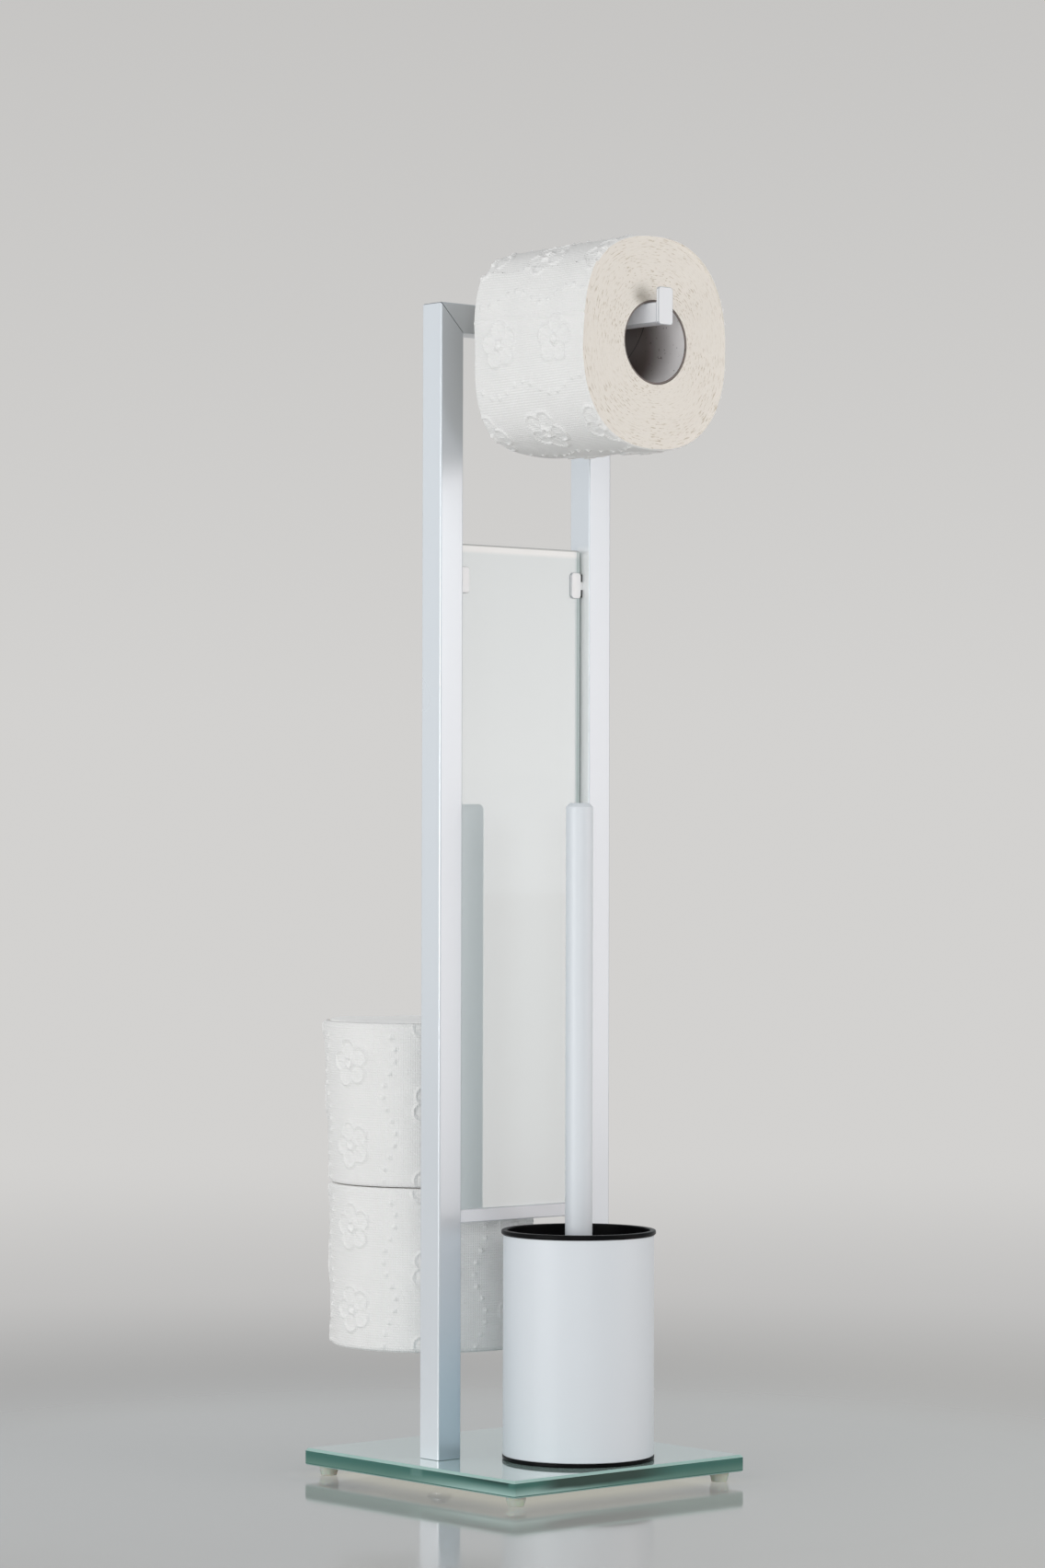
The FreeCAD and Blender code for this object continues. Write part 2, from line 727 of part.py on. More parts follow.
pieces = {
    "base_plate": base_plate(),
    "foot_front_left": foot(-foot_x, -foot_y),
    "foot_front_right": foot(foot_x, -foot_y),
    "foot_rear_left": foot(-foot_x, foot_y),
    "foot_rear_right": foot(foot_x, foot_y),
    "base_bolts": base_bolts(),
    "base_washers": base_washers(),
    "left_upright": left_upright(),
    "right_upright": mirrored(left_upright()),
    "top_crossbar": top_crossbar(),
    "left_corner_insert": left_corner_insert(),
    "right_corner_insert": mirrored(left_corner_insert()),
    "left_foot_plug": left_foot_plug(),
    "right_foot_plug": mirrored(left_foot_plug()),
    "lower_crossbar": lower_crossbar(),
    "panel_seat_strip": panel_seat_strip(),
    "glass_panel": glass_panel(),
    "left_clip": left_clip(),
    "right_clip": mirrored(left_clip()),
    "clip_pads": clip_pads(),
    "clip_studs": clip_studs(),
    "roll_arm": roll_arm(),
    "arm_end_plate": arm_end_plate(),
    "arm_insert": arm_insert(),
    "arm_bolt": arm_bolt(),
    "spare_post": spare_post(),
    "spare_post_cap": spare_post_cap(),
    "spare_tray": spare_tray(),
    "tray_grub_screw": tray_grub_screw(),
    "hung_roll_core": hung_core(),
    "hung_roll_paper": hung_paper(),
    "lower_spare_core": spare_core(lower_spare_bottom),
    "lower_spare_paper": spare_paper(lower_spare_bottom, spare_roll_diameter),
    "upper_spare_core": spare_core(upper_spare_bottom),
    "upper_spare_paper": spare_paper(upper_spare_bottom, spare_roll_diameter + upper_spare_extra),
    "cup_shell": cup_shell(),
    "cup_liner": cup_liner(),
    "cup_base_ring": cup_base_ring(),
    "handle_tube": handle_tube(),
    "handle_cap": handle_cap(),
    "handle_socket": handle_socket(),
    "brush_stud": brush_stud(),
    "brush_head": brush_head(),
    "brush_bristles": brush_bristles(),
}

os.makedirs("parts", exist_ok=True)
for name, shape in pieces.items():
    shape.translate(Vector(0, -origin_y, 0))
    shape.exportStep("parts/" + name + ".step")
    print(name, "solids", len(shape.Solids), "volume", round(shape.Volume), "valid", shape.isValid())
print("origin lies", round(origin_y, 3), "behind the middle of the base")
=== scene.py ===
# %% [markdown]
# # A toilet roll stand with a glass base
# The solids come from a CAD model: a square-tube frame on a glass base, a glass back panel, an arm
# for the roll in use, a post for spare rolls and a brush in a cup. This lesson loads them as a fixed
# frame, replaces the pieces whose surface matters with finer meshes, and gives every piece a finish.

# %% Load the frame
import json
import math
import bpy
import numpy as np
from mathutils import Matrix, Vector


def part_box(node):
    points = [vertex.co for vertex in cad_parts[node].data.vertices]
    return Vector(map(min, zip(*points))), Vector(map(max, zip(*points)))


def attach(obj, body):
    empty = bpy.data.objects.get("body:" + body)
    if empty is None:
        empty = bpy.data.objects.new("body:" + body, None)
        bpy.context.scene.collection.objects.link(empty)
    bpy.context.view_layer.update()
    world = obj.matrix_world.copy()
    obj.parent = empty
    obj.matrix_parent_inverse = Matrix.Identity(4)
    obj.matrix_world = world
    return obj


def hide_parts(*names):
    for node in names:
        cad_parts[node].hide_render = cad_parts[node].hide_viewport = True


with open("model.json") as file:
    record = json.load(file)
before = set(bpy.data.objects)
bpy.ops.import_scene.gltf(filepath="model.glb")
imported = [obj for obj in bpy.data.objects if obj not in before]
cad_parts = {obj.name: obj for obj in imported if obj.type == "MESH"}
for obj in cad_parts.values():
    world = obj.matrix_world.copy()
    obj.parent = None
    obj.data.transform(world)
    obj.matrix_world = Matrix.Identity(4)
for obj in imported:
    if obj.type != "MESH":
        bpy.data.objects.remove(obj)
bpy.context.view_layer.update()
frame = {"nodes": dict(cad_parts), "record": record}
MM = 0.001

# %% [markdown]
# ## Shader maths in plain Python
# Node trees are easier to read as formulas. `Signal` wraps one output socket, and adding or multiplying
# signals adds Math nodes. `Finish` owns one material and makes every other node with a single method.

# %% Signals and finishes
class Signal:
    """One output socket of a finish, with arithmetic."""

    def __init__(self, finish, socket):
        self.finish = finish
        self.socket = socket

    def maths(self, operation, *values):
        sockets = {i: value for i, value in enumerate((self,) + values)}
        return self.finish.node("ShaderNodeMath", {"operation": operation}, sockets)

    def flipped(self, operation, value):
        return self.finish.node("ShaderNodeMath", {"operation": operation}, {0: value, 1: self})

    def __add__(self, other):
        return self.maths("ADD", other)

    def __radd__(self, other):
        return self.flipped("ADD", other)

    def __sub__(self, other):
        return self.maths("SUBTRACT", other)

    def __rsub__(self, other):
        return self.flipped("SUBTRACT", other)

    def __mul__(self, other):
        return self.maths("MULTIPLY", other)

    def __rmul__(self, other):
        return self.flipped("MULTIPLY", other)

    def __truediv__(self, other):
        return self.maths("DIVIDE", other)

    def __abs__(self):
        return self.maths("ABSOLUTE")

    def sine(self):
        return self.maths("SINE")

    def above(self, edge, soft):
        """0 below the edge and 1 above it, with a soft step."""
        settings = {"interpolation_type": "SMOOTHSTEP"}
        sockets = {"Value": self, "From Min": edge - soft, "From Max": edge + soft}
        return self.finish.node("ShaderNodeMapRange", settings, sockets)

    def below(self, edge, soft):
        return 1 - self.above(edge, soft)


class Finish:
    """A material whose nodes are made by one method."""

    def __init__(self, name, colour, roughness, **constants):
        self.material = bpy.data.materials.new(name)
        self.material.use_nodes = True
        self.nodes = self.material.node_tree.nodes
        self.links = self.material.node_tree.links
        self.shader = self.nodes["Principled BSDF"]
        self.set("Base Color", colour)
        self.set("Roughness", roughness)
        for socket, value in constants.items():
            self.set(socket.replace("_", " "), value)

    def feed(self, socket, value):
        if isinstance(value, Signal):
            self.links.new(value.socket, socket)
        elif isinstance(value, tuple) and len(value) == 3 and socket.type == "RGBA":
            socket.default_value = value + (1.0,)
        else:
            socket.default_value = value

    def set(self, socket, value):
        self.feed(self.shader.inputs[socket], value)

    def node(self, kind, settings=None, sockets=None, output=0):
        made = self.nodes.new(kind)
        for key, value in (settings or {}).items():
            setattr(made, key, value)
        for key, value in (sockets or {}).items():
            self.feed(made.inputs[key], value)
        return Signal(self, made.outputs[output])

    def place(self):
        """Object coordinates in metres, as three signals."""
        point = self.node("ShaderNodeTexCoord", output="Object")
        split = self.node("ShaderNodeSeparateXYZ", None, {0: point})
        outputs = split.socket.node.outputs
        return [Signal(self, outputs[i]) for i in range(3)]

    def facing(self):
        """The true face normal, as three signals."""
        normal = self.node("ShaderNodeNewGeometry", output="True Normal")
        split = self.node("ShaderNodeSeparateXYZ", None, {0: normal})
        outputs = split.socket.node.outputs
        return [Signal(self, outputs[i]) for i in range(3)]

    def surface(self, layer):
        """The two coordinates of a UV map, in metres along the surface."""
        point = self.node("ShaderNodeUVMap", {"uv_map": layer})
        split = self.node("ShaderNodeSeparateXYZ", None, {0: point})
        outputs = split.socket.node.outputs
        return Signal(self, outputs[0]), Signal(self, outputs[1])

    def joined(self, x, y, z=0.0):
        return self.node("ShaderNodeCombineXYZ", None, {0: x, 1: y, 2: z})

    def noise(self, scale, detail=2.0, vector=None, roughness=0.5):
        if vector is None:
            vector = self.node("ShaderNodeTexCoord", output="Object")
        sockets = {"Vector": vector, "Scale": scale, "Detail": detail, "Roughness": roughness}
        return self.node("ShaderNodeTexNoise", None, sockets)

    def mix(self, factor, first, second):
        sockets = {"Factor": factor, 6: first, 7: second}
        return self.node("ShaderNodeMix", {"data_type": "RGBA"}, sockets, output=2)

    def bump(self, height, strength, distance):
        sockets = {"Height": height, "Strength": strength, "Distance": distance}
        self.set("Normal", self.node("ShaderNodeBump", None, sockets))

    def glow(self, colour, share):
        """Show a plain colour of its own, whatever the light, where the share says so."""
        plain = self.node("ShaderNodeEmission", None, {"Color": colour})
        mixed = self.nodes.new("ShaderNodeMixShader")
        for socket, source in zip(mixed.inputs, (share.socket, self.shader.outputs[0], plain.socket)):
            self.links.new(source, socket)
        self.links.new(mixed.outputs[0], self.nodes["Material Output"].inputs["Surface"])


# %% [markdown]
# ## White powder coat
# The square tubes wear a pearly white coat. Part of it acts like metal, so it picks up the softboxes
# and greys where the room is dark. The cup and the handle are painted with a satin white instead,
# which hardly mirrors at all. The arm, the clips and the slim bar get a plain white with painted shade
# on its rounded edges, found from the face normal: there it points along none of the three axes. The
# feet of the uprights carry painted light and shade for what the glass base throws back: paler at the
# sides, greyer in front. Next to the milky panel the tubes get a strip of painted light, in place of
# the light the panel scatters onto them.

# %% White powder coat
PANEL_LOW, PANEL_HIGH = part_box("glass_panel")
FRAME_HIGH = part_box("right_upright")[1]


def white_coat(name, colour, roughness, metallic, gloss):
    coat = Finish(name, colour, roughness, Metallic=metallic, Coat_Weight=gloss, Coat_Roughness=0.12)
    coat.set("Roughness", roughness - 0.02 + coat.noise(6.0, 1.0) * 0.04)
    return coat


def tube_coat(colour, metallic):
    """The frame's coat, with fine dark mitre joints, painted light and shade on the feet, and a strip of
    painted light next to the milky glass.
    """
    coat = white_coat("pearl_powder_coat", colour, 0.28, metallic, 0.10)
    x, y, z = coat.place()
    normal_x, normal_y, _ = (abs(normal) for normal in coat.facing())
    joint = abs(z - FRAME_HIGH.z + FRAME_HIGH.x - abs(x)).below(0.00035, 0.0001)
    # Painted light: next to the milky panel the tube faces get a paler, non-metallic strip, in place of the
    # light the panel scatters onto them.
    inside = abs(x).below(PANEL_HIGH.x + 0.003, 0.0005) * normal_x.above(0.8, 0.1)
    level = z.below(PANEL_HIGH.z, 0.004) * z.above(PANEL_LOW.z, 0.004)
    panel_light_strip = inside * level * y.below(PANEL_HIGH.y, 0.001)
    # Painted light and shade at the feet: side faces paler, front faces greyer, for what the glass base
    # throws back.
    lit_foot = coat.mix(normal_x.above(0.8, 0.1) * z.below(0.12, 0.11), colour, (0.80, 0.845, 0.89))
    shaded_foot = coat.mix(normal_y.above(0.8, 0.1) * z.below(0.09, 0.05), lit_foot, (0.50, 0.61, 0.68))
    pale = coat.mix(panel_light_strip, shaded_foot, (0.95, 0.975, 0.98))
    coat.set("Base Color", coat.mix(joint * 0.9, pale, (0.05, 0.06, 0.07)))
    coat.set("Metallic", metallic - panel_light_strip * metallic)
    return coat.material


def edged_white(name, colour, edge_shade_colour):
    """Plain white paint, with painted shade that greys it over the rounded edges."""
    paint = Finish(name, colour, 0.4, Coat_Weight=0.1)
    arris_shade = 1.0
    for normal in paint.facing():
        arris_shade = arris_shade * abs(normal).below(0.96, 0.02)
    # Painted shade: the rounded edges are greyed wherever the light falls.
    paint.set("Base Color", paint.mix(arris_shade * 0.7, colour, edge_shade_colour))
    return paint.material


COAT = tube_coat((0.64, 0.68, 0.72), 0.42)
SATIN = white_coat("satin_white_paint", (0.76, 0.805, 0.85), 0.45, 0.05, 0.1).material
ARM_WHITE = edged_white("arm_white_paint", (0.89, 0.915, 0.95), (0.33, 0.36, 0.40))

# %% [markdown]
# ## Glass
# The base is float glass, milky below, with polished edges where the green of the glass gathers.
# Clear glass would need light paths through the whole plate, so the finish paints what such a plate
# shows, its light and shade included: a pale top, bright bevels that are a painted highlight, and an
# edge of the glass's own sea green with painted shade, darkest just under the bevel, and a painted image
# of the bolt seen through it. The back panel is milky but highly polished, so that the handle is mirrored
# in it as a darker band; its lower part is darkened as painted shade, and a painted highlight runs under
# its top edge.

# %% Base glass and panel glass
def middle_of(node):
    low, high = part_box(node)
    return (low + high) / 2


BASE_LOW, BASE_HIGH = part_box("base_plate")


def base_glass():
    glass = Finish("base_glass", (0.7, 0.82, 0.79), 0.05, Coat_Roughness=0.03, Specular_IOR_Level=0.2)
    normal_x, _, normal_z = glass.facing()
    x, y, z = glass.place()
    depth = (BASE_HIGH.z - z) / (BASE_HIGH.z - BASE_LOW.z)
    back = (y - BASE_LOW.y) / (BASE_HIGH.y - BASE_LOW.y)
    right = (x - BASE_LOW.x) / (BASE_HIGH.x - BASE_LOW.x)
    drift = (glass.noise(22.0, 2.0) - 0.5) * 0.3
    on_side = abs(normal_x).above(0.8, 0.1)
    near_corner = glass.mix(on_side, right.below(0.3, 0.2), back.below(0.35, 0.25))
    # The edge's sea green is the glass's own tint; its grading is painted light and shade: darker toward the
    # top, paler low down and near the front corner.
    upper = (0.05, 0.16, 0.135)
    lower = glass.mix(near_corner, (0.13, 0.26, 0.22), (0.40, 0.60, 0.56))
    teal = glass.mix(depth.above(0.65, 0.35), upper, lower)
    # Painted shade: dark bands under the bevel near the front of the sides, and along the front edge.
    side_painted_shade = back.below(0.25, 0.25) * back.above(0.025, 0.008) * depth.below(0.3, 0.25)
    front_painted_shade = right.above(0.14, 0.06) * right.below(0.62, 0.12) * (depth + drift).below(0.7, 0.15)
    side_edge = glass.mix(side_painted_shade, teal, (0.004, 0.022, 0.02))
    front_edge = glass.mix(front_painted_shade, teal, (0.035, 0.07, 0.058))
    shaded = glass.mix(on_side, front_edge, side_edge)
    # A painted image of the bolt, seen through the edge.
    bolt = abs(y - middle_of("base_plate").y + 0.009).below(0.005, 0.002) * depth.below(0.6, 0.1)
    edge = glass.mix(bolt * 0.4, shaded, (0.18, 0.33, 0.30))
    lined = glass.mix(depth.above(0.88, 0.02), edge, (0.05, 0.15, 0.13))
    # Painted highlight: the chamfers are paler.
    bevel = glass.mix(abs(normal_z).above(0.3, 0.1), lined, (0.40, 0.60, 0.56))
    top = abs(normal_z).above(0.9, 0.05)
    pale = glass.mix(glass.noise(30.0, 3.0), (0.40, 0.55, 0.52), (0.44, 0.58, 0.55))
    glass.set("Base Color", glass.mix(top, bevel, pale))
    glass.set("Coat Weight", top * 0.95)
    return glass.material


def panel_glass():
    polish = {"Coat_Weight": 0.95, "Coat_Roughness": 0.02, "Coat_IOR": 1.8, "Specular_IOR_Level": 1.0}
    glass = Finish("milky_panel_glass", (0.72, 0.76, 0.74), 0.03, **polish)
    x, _, z = glass.place()
    inset = (PANEL_HIGH.x - PANEL_LOW.x) / 2 - abs(x)
    down = PANEL_HIGH.z - z
    outer_line = inset.below(0.0010, 0.0002)
    inner_line = inset.above(0.0017, 0.0002) * inset.below(0.0029, 0.0003)
    milk = glass.mix(glass.noise(6.0, 2.0), (0.640, 0.700, 0.714), (0.657, 0.717, 0.731))
    # Painted shade: the milk is darker more than about 0.2 m below the top edge.
    milk = glass.mix(down.above(0.2, 0.18), milk, (0.592, 0.660, 0.674))
    # Painted highlight: a paler band just under the top edge.
    top_highlighted = glass.mix(down.below(0.0045, 0.0015), milk, (0.83, 0.845, 0.84))
    lined = glass.mix(inner_line * 0.6, top_highlighted, (0.30, 0.42, 0.39))
    lined = glass.mix(outer_line * 0.8, lined, (0.16, 0.26, 0.235))
    glass.set("Base Color", glass.mix(down.below(0.0010, 0.0003), lined, (0.42, 0.44, 0.43)))
    return glass.material


# %% [markdown]
# ## Small finishes
# Feet, fasteners, liners and black plastic are small, but each has its own sheen.

# %% Small finishes
def clear_vinyl():
    cloud = {"Subsurface_Weight": 0.4, "Transmission_Weight": 0.25}
    vinyl = Finish("cloudy_vinyl", (0.80, 0.75, 0.58), 0.22, **cloud)
    vinyl.set("Base Color", vinyl.mix(vinyl.noise(160.0, 3.0), (0.84, 0.80, 0.64), (0.92, 0.89, 0.76)))
    return vinyl.material


def plated_steel():
    steel = Finish("plated_steel", (0.6, 0.61, 0.63), 0.32, Metallic=1.0)
    steel.set("Roughness", 0.25 + steel.noise(420.0, 3.0) * 0.2)
    return steel.material


def black_plastic():
    plastic = Finish("black_plastic", (0.004, 0.004, 0.0045), 0.3, Specular_IOR_Level=0.05)
    grain = plastic.noise(1500.0, 2.0)
    plastic.set("Roughness", 0.26 + grain * 0.1)
    plastic.bump(grain, 0.1, 0.0002)
    return plastic.material


def dark_liner():
    liner = Finish("dark_liner", (0.02, 0.022, 0.022), 0.7)
    liner.bump(liner.noise(900.0), 0.2, 0.0002)
    return liner.material


def white_nylon(name, colour):
    nylon = Finish(name, colour, 0.45)
    nylon.set("Roughness", 0.38 + nylon.noise(300.0, 2.0) * 0.15)
    return nylon.material


FINISHES = {
    "white_coat": COAT,
    "base_glass": base_glass(),
    "panel_glass": panel_glass(),
    "clear_vinyl": clear_vinyl(),
    "steel": plated_steel(),
    "nylon": white_nylon("white_nylon", (0.82, 0.82, 0.80)),
    "soft_liner": dark_liner(),
    "black_plastic": black_plastic(),
    "bristle": white_nylon("nylon_bristle", (0.85, 0.86, 0.87)),
}


def dress_nodes():
    """Give every CAD node the finish of its material slot."""
    dressed = 0
    for subpart in frame["record"]["subparts"]:
        finish = FINISHES.get(subpart["material_slot"])
        if finish is not None:
            mesh = frame["nodes"][subpart["node"]].data
            mesh.materials.clear()
            mesh.materials.append(finish)
            dressed += 1
    return dressed


print("dressed", dress_nodes(), "nodes")

# The slim bar and the clips share the slot of the frame, but have a plainer white.
BAR_WHITE = edged_white("bar_white_paint", (0.87, 0.885, 0.925), (0.62, 0.64, 0.68))
frame["nodes"]["lower_crossbar"].data.materials[0] = BAR_WHITE
CLIP_WHITE = edged_white("clip_white", (0.93, 0.935, 0.95), (0.40, 0.43, 0.46))
for node in ("left_clip", "right_clip"):
    frame["nodes"][node].data.materials[0] = CLIP_WHITE

# %% [markdown]
# ## Hand tools
# A few helpers stand in for the mouse: clearing the selection, picking edges by their place, and
# handing a finished piece to the body that carries it.

# %% Hand tools
def clear_selection():
    if bpy.context.object and bpy.context.object.mode != "OBJECT":
        bpy.ops.object.mode_set(mode="OBJECT")
    bpy.ops.object.select_all(action="DESELECT")


def settle(piece):
    """Put a new piece's place and size into its mesh."""
    bpy.ops.object.transform_apply(location=True, rotation=True, scale=True)
    return piece


def pick_edges(piece, wanted):
    """Select the edges for which wanted(start, end) holds, and enter edit mode."""
    mesh = piece.data
    bpy.context.tool_settings.mesh_select_mode = (False, True, False)
    for item in list(mesh.vertices) + list(mesh.edges) + list(mesh.polygons):
        item.select = False
    for edge in mesh.edges:
        start, end = (mesh.vertices[i].co for i in edge.vertices)
        edge.select = wanted(start, end)
    bpy.ops.object.mode_set(mode="EDIT")


def leave_edit():
    bpy.ops.object.mode_set(mode="OBJECT")


def hand_over(piece, name, body, material, nodes):
    """Name a finished piece, give it its finish, and let it ride on its body in place of CAD nodes."""
    piece.name = name
    piece.data.name = name
    if material is not None:
        piece.data.materials.clear()
        piece.data.materials.append(material)
    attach(piece, body)
    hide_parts(*nodes)
    print(name, "faces", len(piece.data.polygons))


# %% [markdown]
# ## The frame tubes
# Each tube is a block whose long edges are rounded and whose top is cut at 45 degrees. A block with a
# bisect and two bevels gives crisp, smooth-shaded edges that catch the light. The small bevel along
# the mitre leaves the groove that shows where two tubes meet.

# %% Frame tubes
TUBE_ROUND = 1.1 * MM
MITRE_BEVEL = 0.55 * MM


def block_between(low, high):
    clear_selection()
    bpy.ops.mesh.primitive_cube_add(size=1, location=(low + high) / 2)
    piece = bpy.context.object
    piece.scale = high - low
    return settle(piece)


def cut_at(piece, point, normal):
    """Cut a block by a plane, throw away the side the normal points to, and close the cut."""
    bpy.ops.object.mode_set(mode="EDIT")
    bpy.ops.mesh.select_all(action="SELECT")
    bpy.ops.mesh.bisect(plane_co=point, plane_no=normal, use_fill=True, clear_outer=True)
    leave_edit()


def round_edges(piece, wanted, width, segments):
    pick_edges(piece, wanted)
    bpy.ops.mesh.bevel(offset=width, segments=segments, profile=0.5, affect="EDGES")
    leave_edit()


def smooth(piece, angle=40):
    clear_selection()
    piece.select_set(True)
    bpy.context.view_layer.objects.active = piece
    bpy.ops.object.shade_smooth_by_angle(angle=math.radians(angle))
    bpy.ops.object.modifier_add(type="WEIGHTED_NORMAL")
    piece.modifiers[-1].keep_sharp = True
    bpy.ops.object.modifier_apply(modifier=piece.modifiers[-1].name)


def frame_tube(node, run, cuts):
    """A tube along one axis, mitred by planes, with its long edges rounded."""
    low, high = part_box(node)
    piece = block_between(low, high)
    for point, normal in cuts:
        cut_at(piece, point, normal)
    length = high[run] - low[run]
    round_edges(piece, lambda a, b: abs(a[run] - b[run]) > length * 0.6, TUBE_ROUND, 3)
    round_edges(piece, lambda a, b: abs(a[run] - b[run]) < length * 0.3, MITRE_BEVEL, 2)
    smooth(piece)
    hand_over(piece, node + "_coated", "stand", COAT, [node])


def mitre(side):
    """The cut plane of an upright's top, on the left (-1) or right (1) of the stand."""
    low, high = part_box("left_upright" if side < 0 else "right_upright")
    corner = Vector((high.x if side > 0 else low.x, 0, high.z))
    return corner, Vector((-side, 0, 1)).normalized()


def crossbar_mitre(side):
    low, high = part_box("top_crossbar")
    corner = Vector((high.x if side > 0 else low.x, 0, high.z))
    return corner, Vector((side, 0, -1)).normalized()


frame_tube("left_upright", 2, [mitre(-1)])
frame_tube("right_upright", 2, [mitre(1)])
frame_tube("top_crossbar", 0, [crossbar_mitre(-1), crossbar_mitre(1)])

# %% [markdown]
# ## Turned pieces
# The cup, its black liner, its ring and the handle are all turned shapes. A circle is extruded
# ring by ring up an outline of radius and height pairs, each ring scaled to its radius, and the last
# ring is merged with the first, so the wall is closed.

# %% Turned pieces
TURN_SEGMENTS = 128


def turned_piece(centre, outline, segments=TURN_SEGMENTS):
    """A closed ring-shaped solid turned about a vertical line through a point."""
    clear_selection()
    first_r, first_z = outline[0]
    start = (centre.x, centre.y, first_z)
    bpy.ops.mesh.primitive_circle_add(vertices=segments, radius=first_r, location=start)
    piece = settle(bpy.context.object)
    bpy.ops.object.mode_set(mode="EDIT")
    bpy.ops.mesh.select_all(action="SELECT")
    radius, height = first_r, first_z
    for next_r, next_z in list(outline[1:]) + [outline[0]]:
        rise = (0, 0, next_z - height)
        bpy.ops.mesh.extrude_region_move(TRANSFORM_OT_translate={"value": rise})
        grow = next_r / radius
        pivot = (centre.x, centre.y, next_z)
        bpy.ops.transform.resize(value=(grow, grow, 1), center_override=pivot)
        radius, height = next_r, next_z
    bpy.ops.mesh.select_all(action="SELECT")
    bpy.ops.mesh.remove_doubles(threshold=1e-6)
    bpy.ops.mesh.normals_make_consistent(inside=False)
    leave_edit()
    smooth(piece, 35)
    return piece


def cup_pieces():
    black = FINISHES["black_plastic"]
    centre = middle_of("cup_shell")
    low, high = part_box("cup_shell")
    outer = (high.x - low.x) / 2
    wall = 0.8 * MM
    roll = 0.35 * MM
    shell = turned_piece(centre, [
        (outer - wall, low.z), (outer - roll, low.z), (outer, low.z + roll), (outer, high.z - roll),
        (outer - roll, high.z), (outer - wall, high.z),
    ])
    hand_over(shell, "cup_shell_coated", "cup", SATIN, ["cup_shell"])

    low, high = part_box("cup_liner")
    rim = (high.x - low.x) / 2
    shell_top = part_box("cup_shell")[1].z
    body = outer - wall - 0.05 * MM
    inner = body - 1.6 * MM
    soft = 0.8 * MM
    floor = low.z + 2.0 * MM
    tiny = 0.5 * MM
    liner = turned_piece(centre, [
        (tiny, low.z), (body - 2 * MM, low.z), (body, low.z + 2 * MM), (body, shell_top),
        (rim - soft, shell_top), (rim, shell_top + soft), (rim, high.z - soft),
        (rim - soft * 0.3, high.z - soft * 0.3), (rim - soft, high.z), (inner + soft, high.z),
        (inner + soft * 0.3, high.z - soft * 0.3), (inner, high.z - soft), (inner, floor + 2 * MM),
        (inner - 2 * MM, floor), (tiny, floor),
    ])
    hand_over(liner, "cup_liner_moulded", "cup", black, ["cup_liner"])

    low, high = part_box("cup_base_ring")
    ring_outer = (high.x - low.x) / 2
    shell_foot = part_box("cup_shell")[0].z
    ring_inner = ring_outer - 7 * MM
    edge = 0.5 * MM
    ring = turned_piece(centre, [
        (ring_inner, low.z), (ring_outer - edge, low.z), (ring_outer, low.z + edge),
        (ring_outer, shell_foot - edge * 0.4), (ring_outer - edge * 0.4, shell_foot),
        (body, shell_foot), (body, high.z), (ring_inner, high.z),
    ])
    hand_over(ring, "cup_ring_moulded", "cup", black, ["cup_base_ring"])


def handle_pieces():
    centre = middle_of("handle_tube")
    low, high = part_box("handle_tube")
    outer = (high.x - low.x) / 2
    wall = 0.8 * MM
    tube = turned_piece(centre, [
        (outer - wall, low.z), (outer, low.z), (outer, high.z), (outer - wall, high.z),
    ], 96)
    hand_over(tube, "handle_tube_coated", "brush", SATIN, ["handle_tube"])

    low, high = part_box("handle_cap")
    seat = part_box("handle_tube")[1].z
    bevel = 2.2 * MM
    soft = 0.4 * MM
    spigot = outer - wall - 0.05 * MM
    tiny = 0.3 * MM
    cap = turned_piece(centre, [
        (tiny, low.z), (spigot, low.z), (spigot, seat), (outer, seat), (outer, high.z - bevel - soft),
        (outer - soft * 0.3, high.z - bevel), (outer - bevel, high.z - soft * 0.3),
        (outer - bevel - soft, high.z), (tiny, high.z),
    ], 96)
    hand_over(cap, "handle_cap_coated", "brush", SATIN, ["handle_cap"])


cup_pieces()
handle_pieces()

# %% [markdown]
# ## Wound paper
# A toilet roll is a long sheet wound on a core. Modelling every layer would be wasted, so each roll is
# one closed skin: a grid is wrapped round the roll, and its rows run out over the front end, along the
# side, in over the back end and home along the core. The emboss is real relief on that grid: flowers of
# five round petals and rows of dots, worked out from a formula, which a texture could only fake.

# %% Tissue and cardboard finishes
LAYER = "along_the_sheet"
GRAIN_PITCH = 1.45 * MM
CORE_SHADOW_ALONG = 114 * MM
SEAM_TURNS = 6.77
CORE_RIM_ACROSS = 195.4 * MM


def tissue_side(name, **constants):
    """Soft white tissue with a fine diamond grain between the embossed shapes."""
    tissue = Finish(name, (0.86, 0.865, 0.86), 0.85, Sheen_Weight=0.25, Sheen_Roughness=0.6, **constants)
    along, across = tissue.surface(LAYER)
    turn = math.pi / GRAIN_PITCH
    diamond = (along * turn + across * turn).sine() * (along * turn - across * turn).sine()
    fibre = tissue.noise(700.0, 3.0)
    tissue.bump(diamond * 0.5 + fibre * 0.5, 0.7, 0.0004)
    tissue.set("Base Color", tissue.mix(tissue.noise(60.0, 2.0), (0.89, 0.895, 0.89), (0.93, 0.935, 0.93)))
    return tissue.material


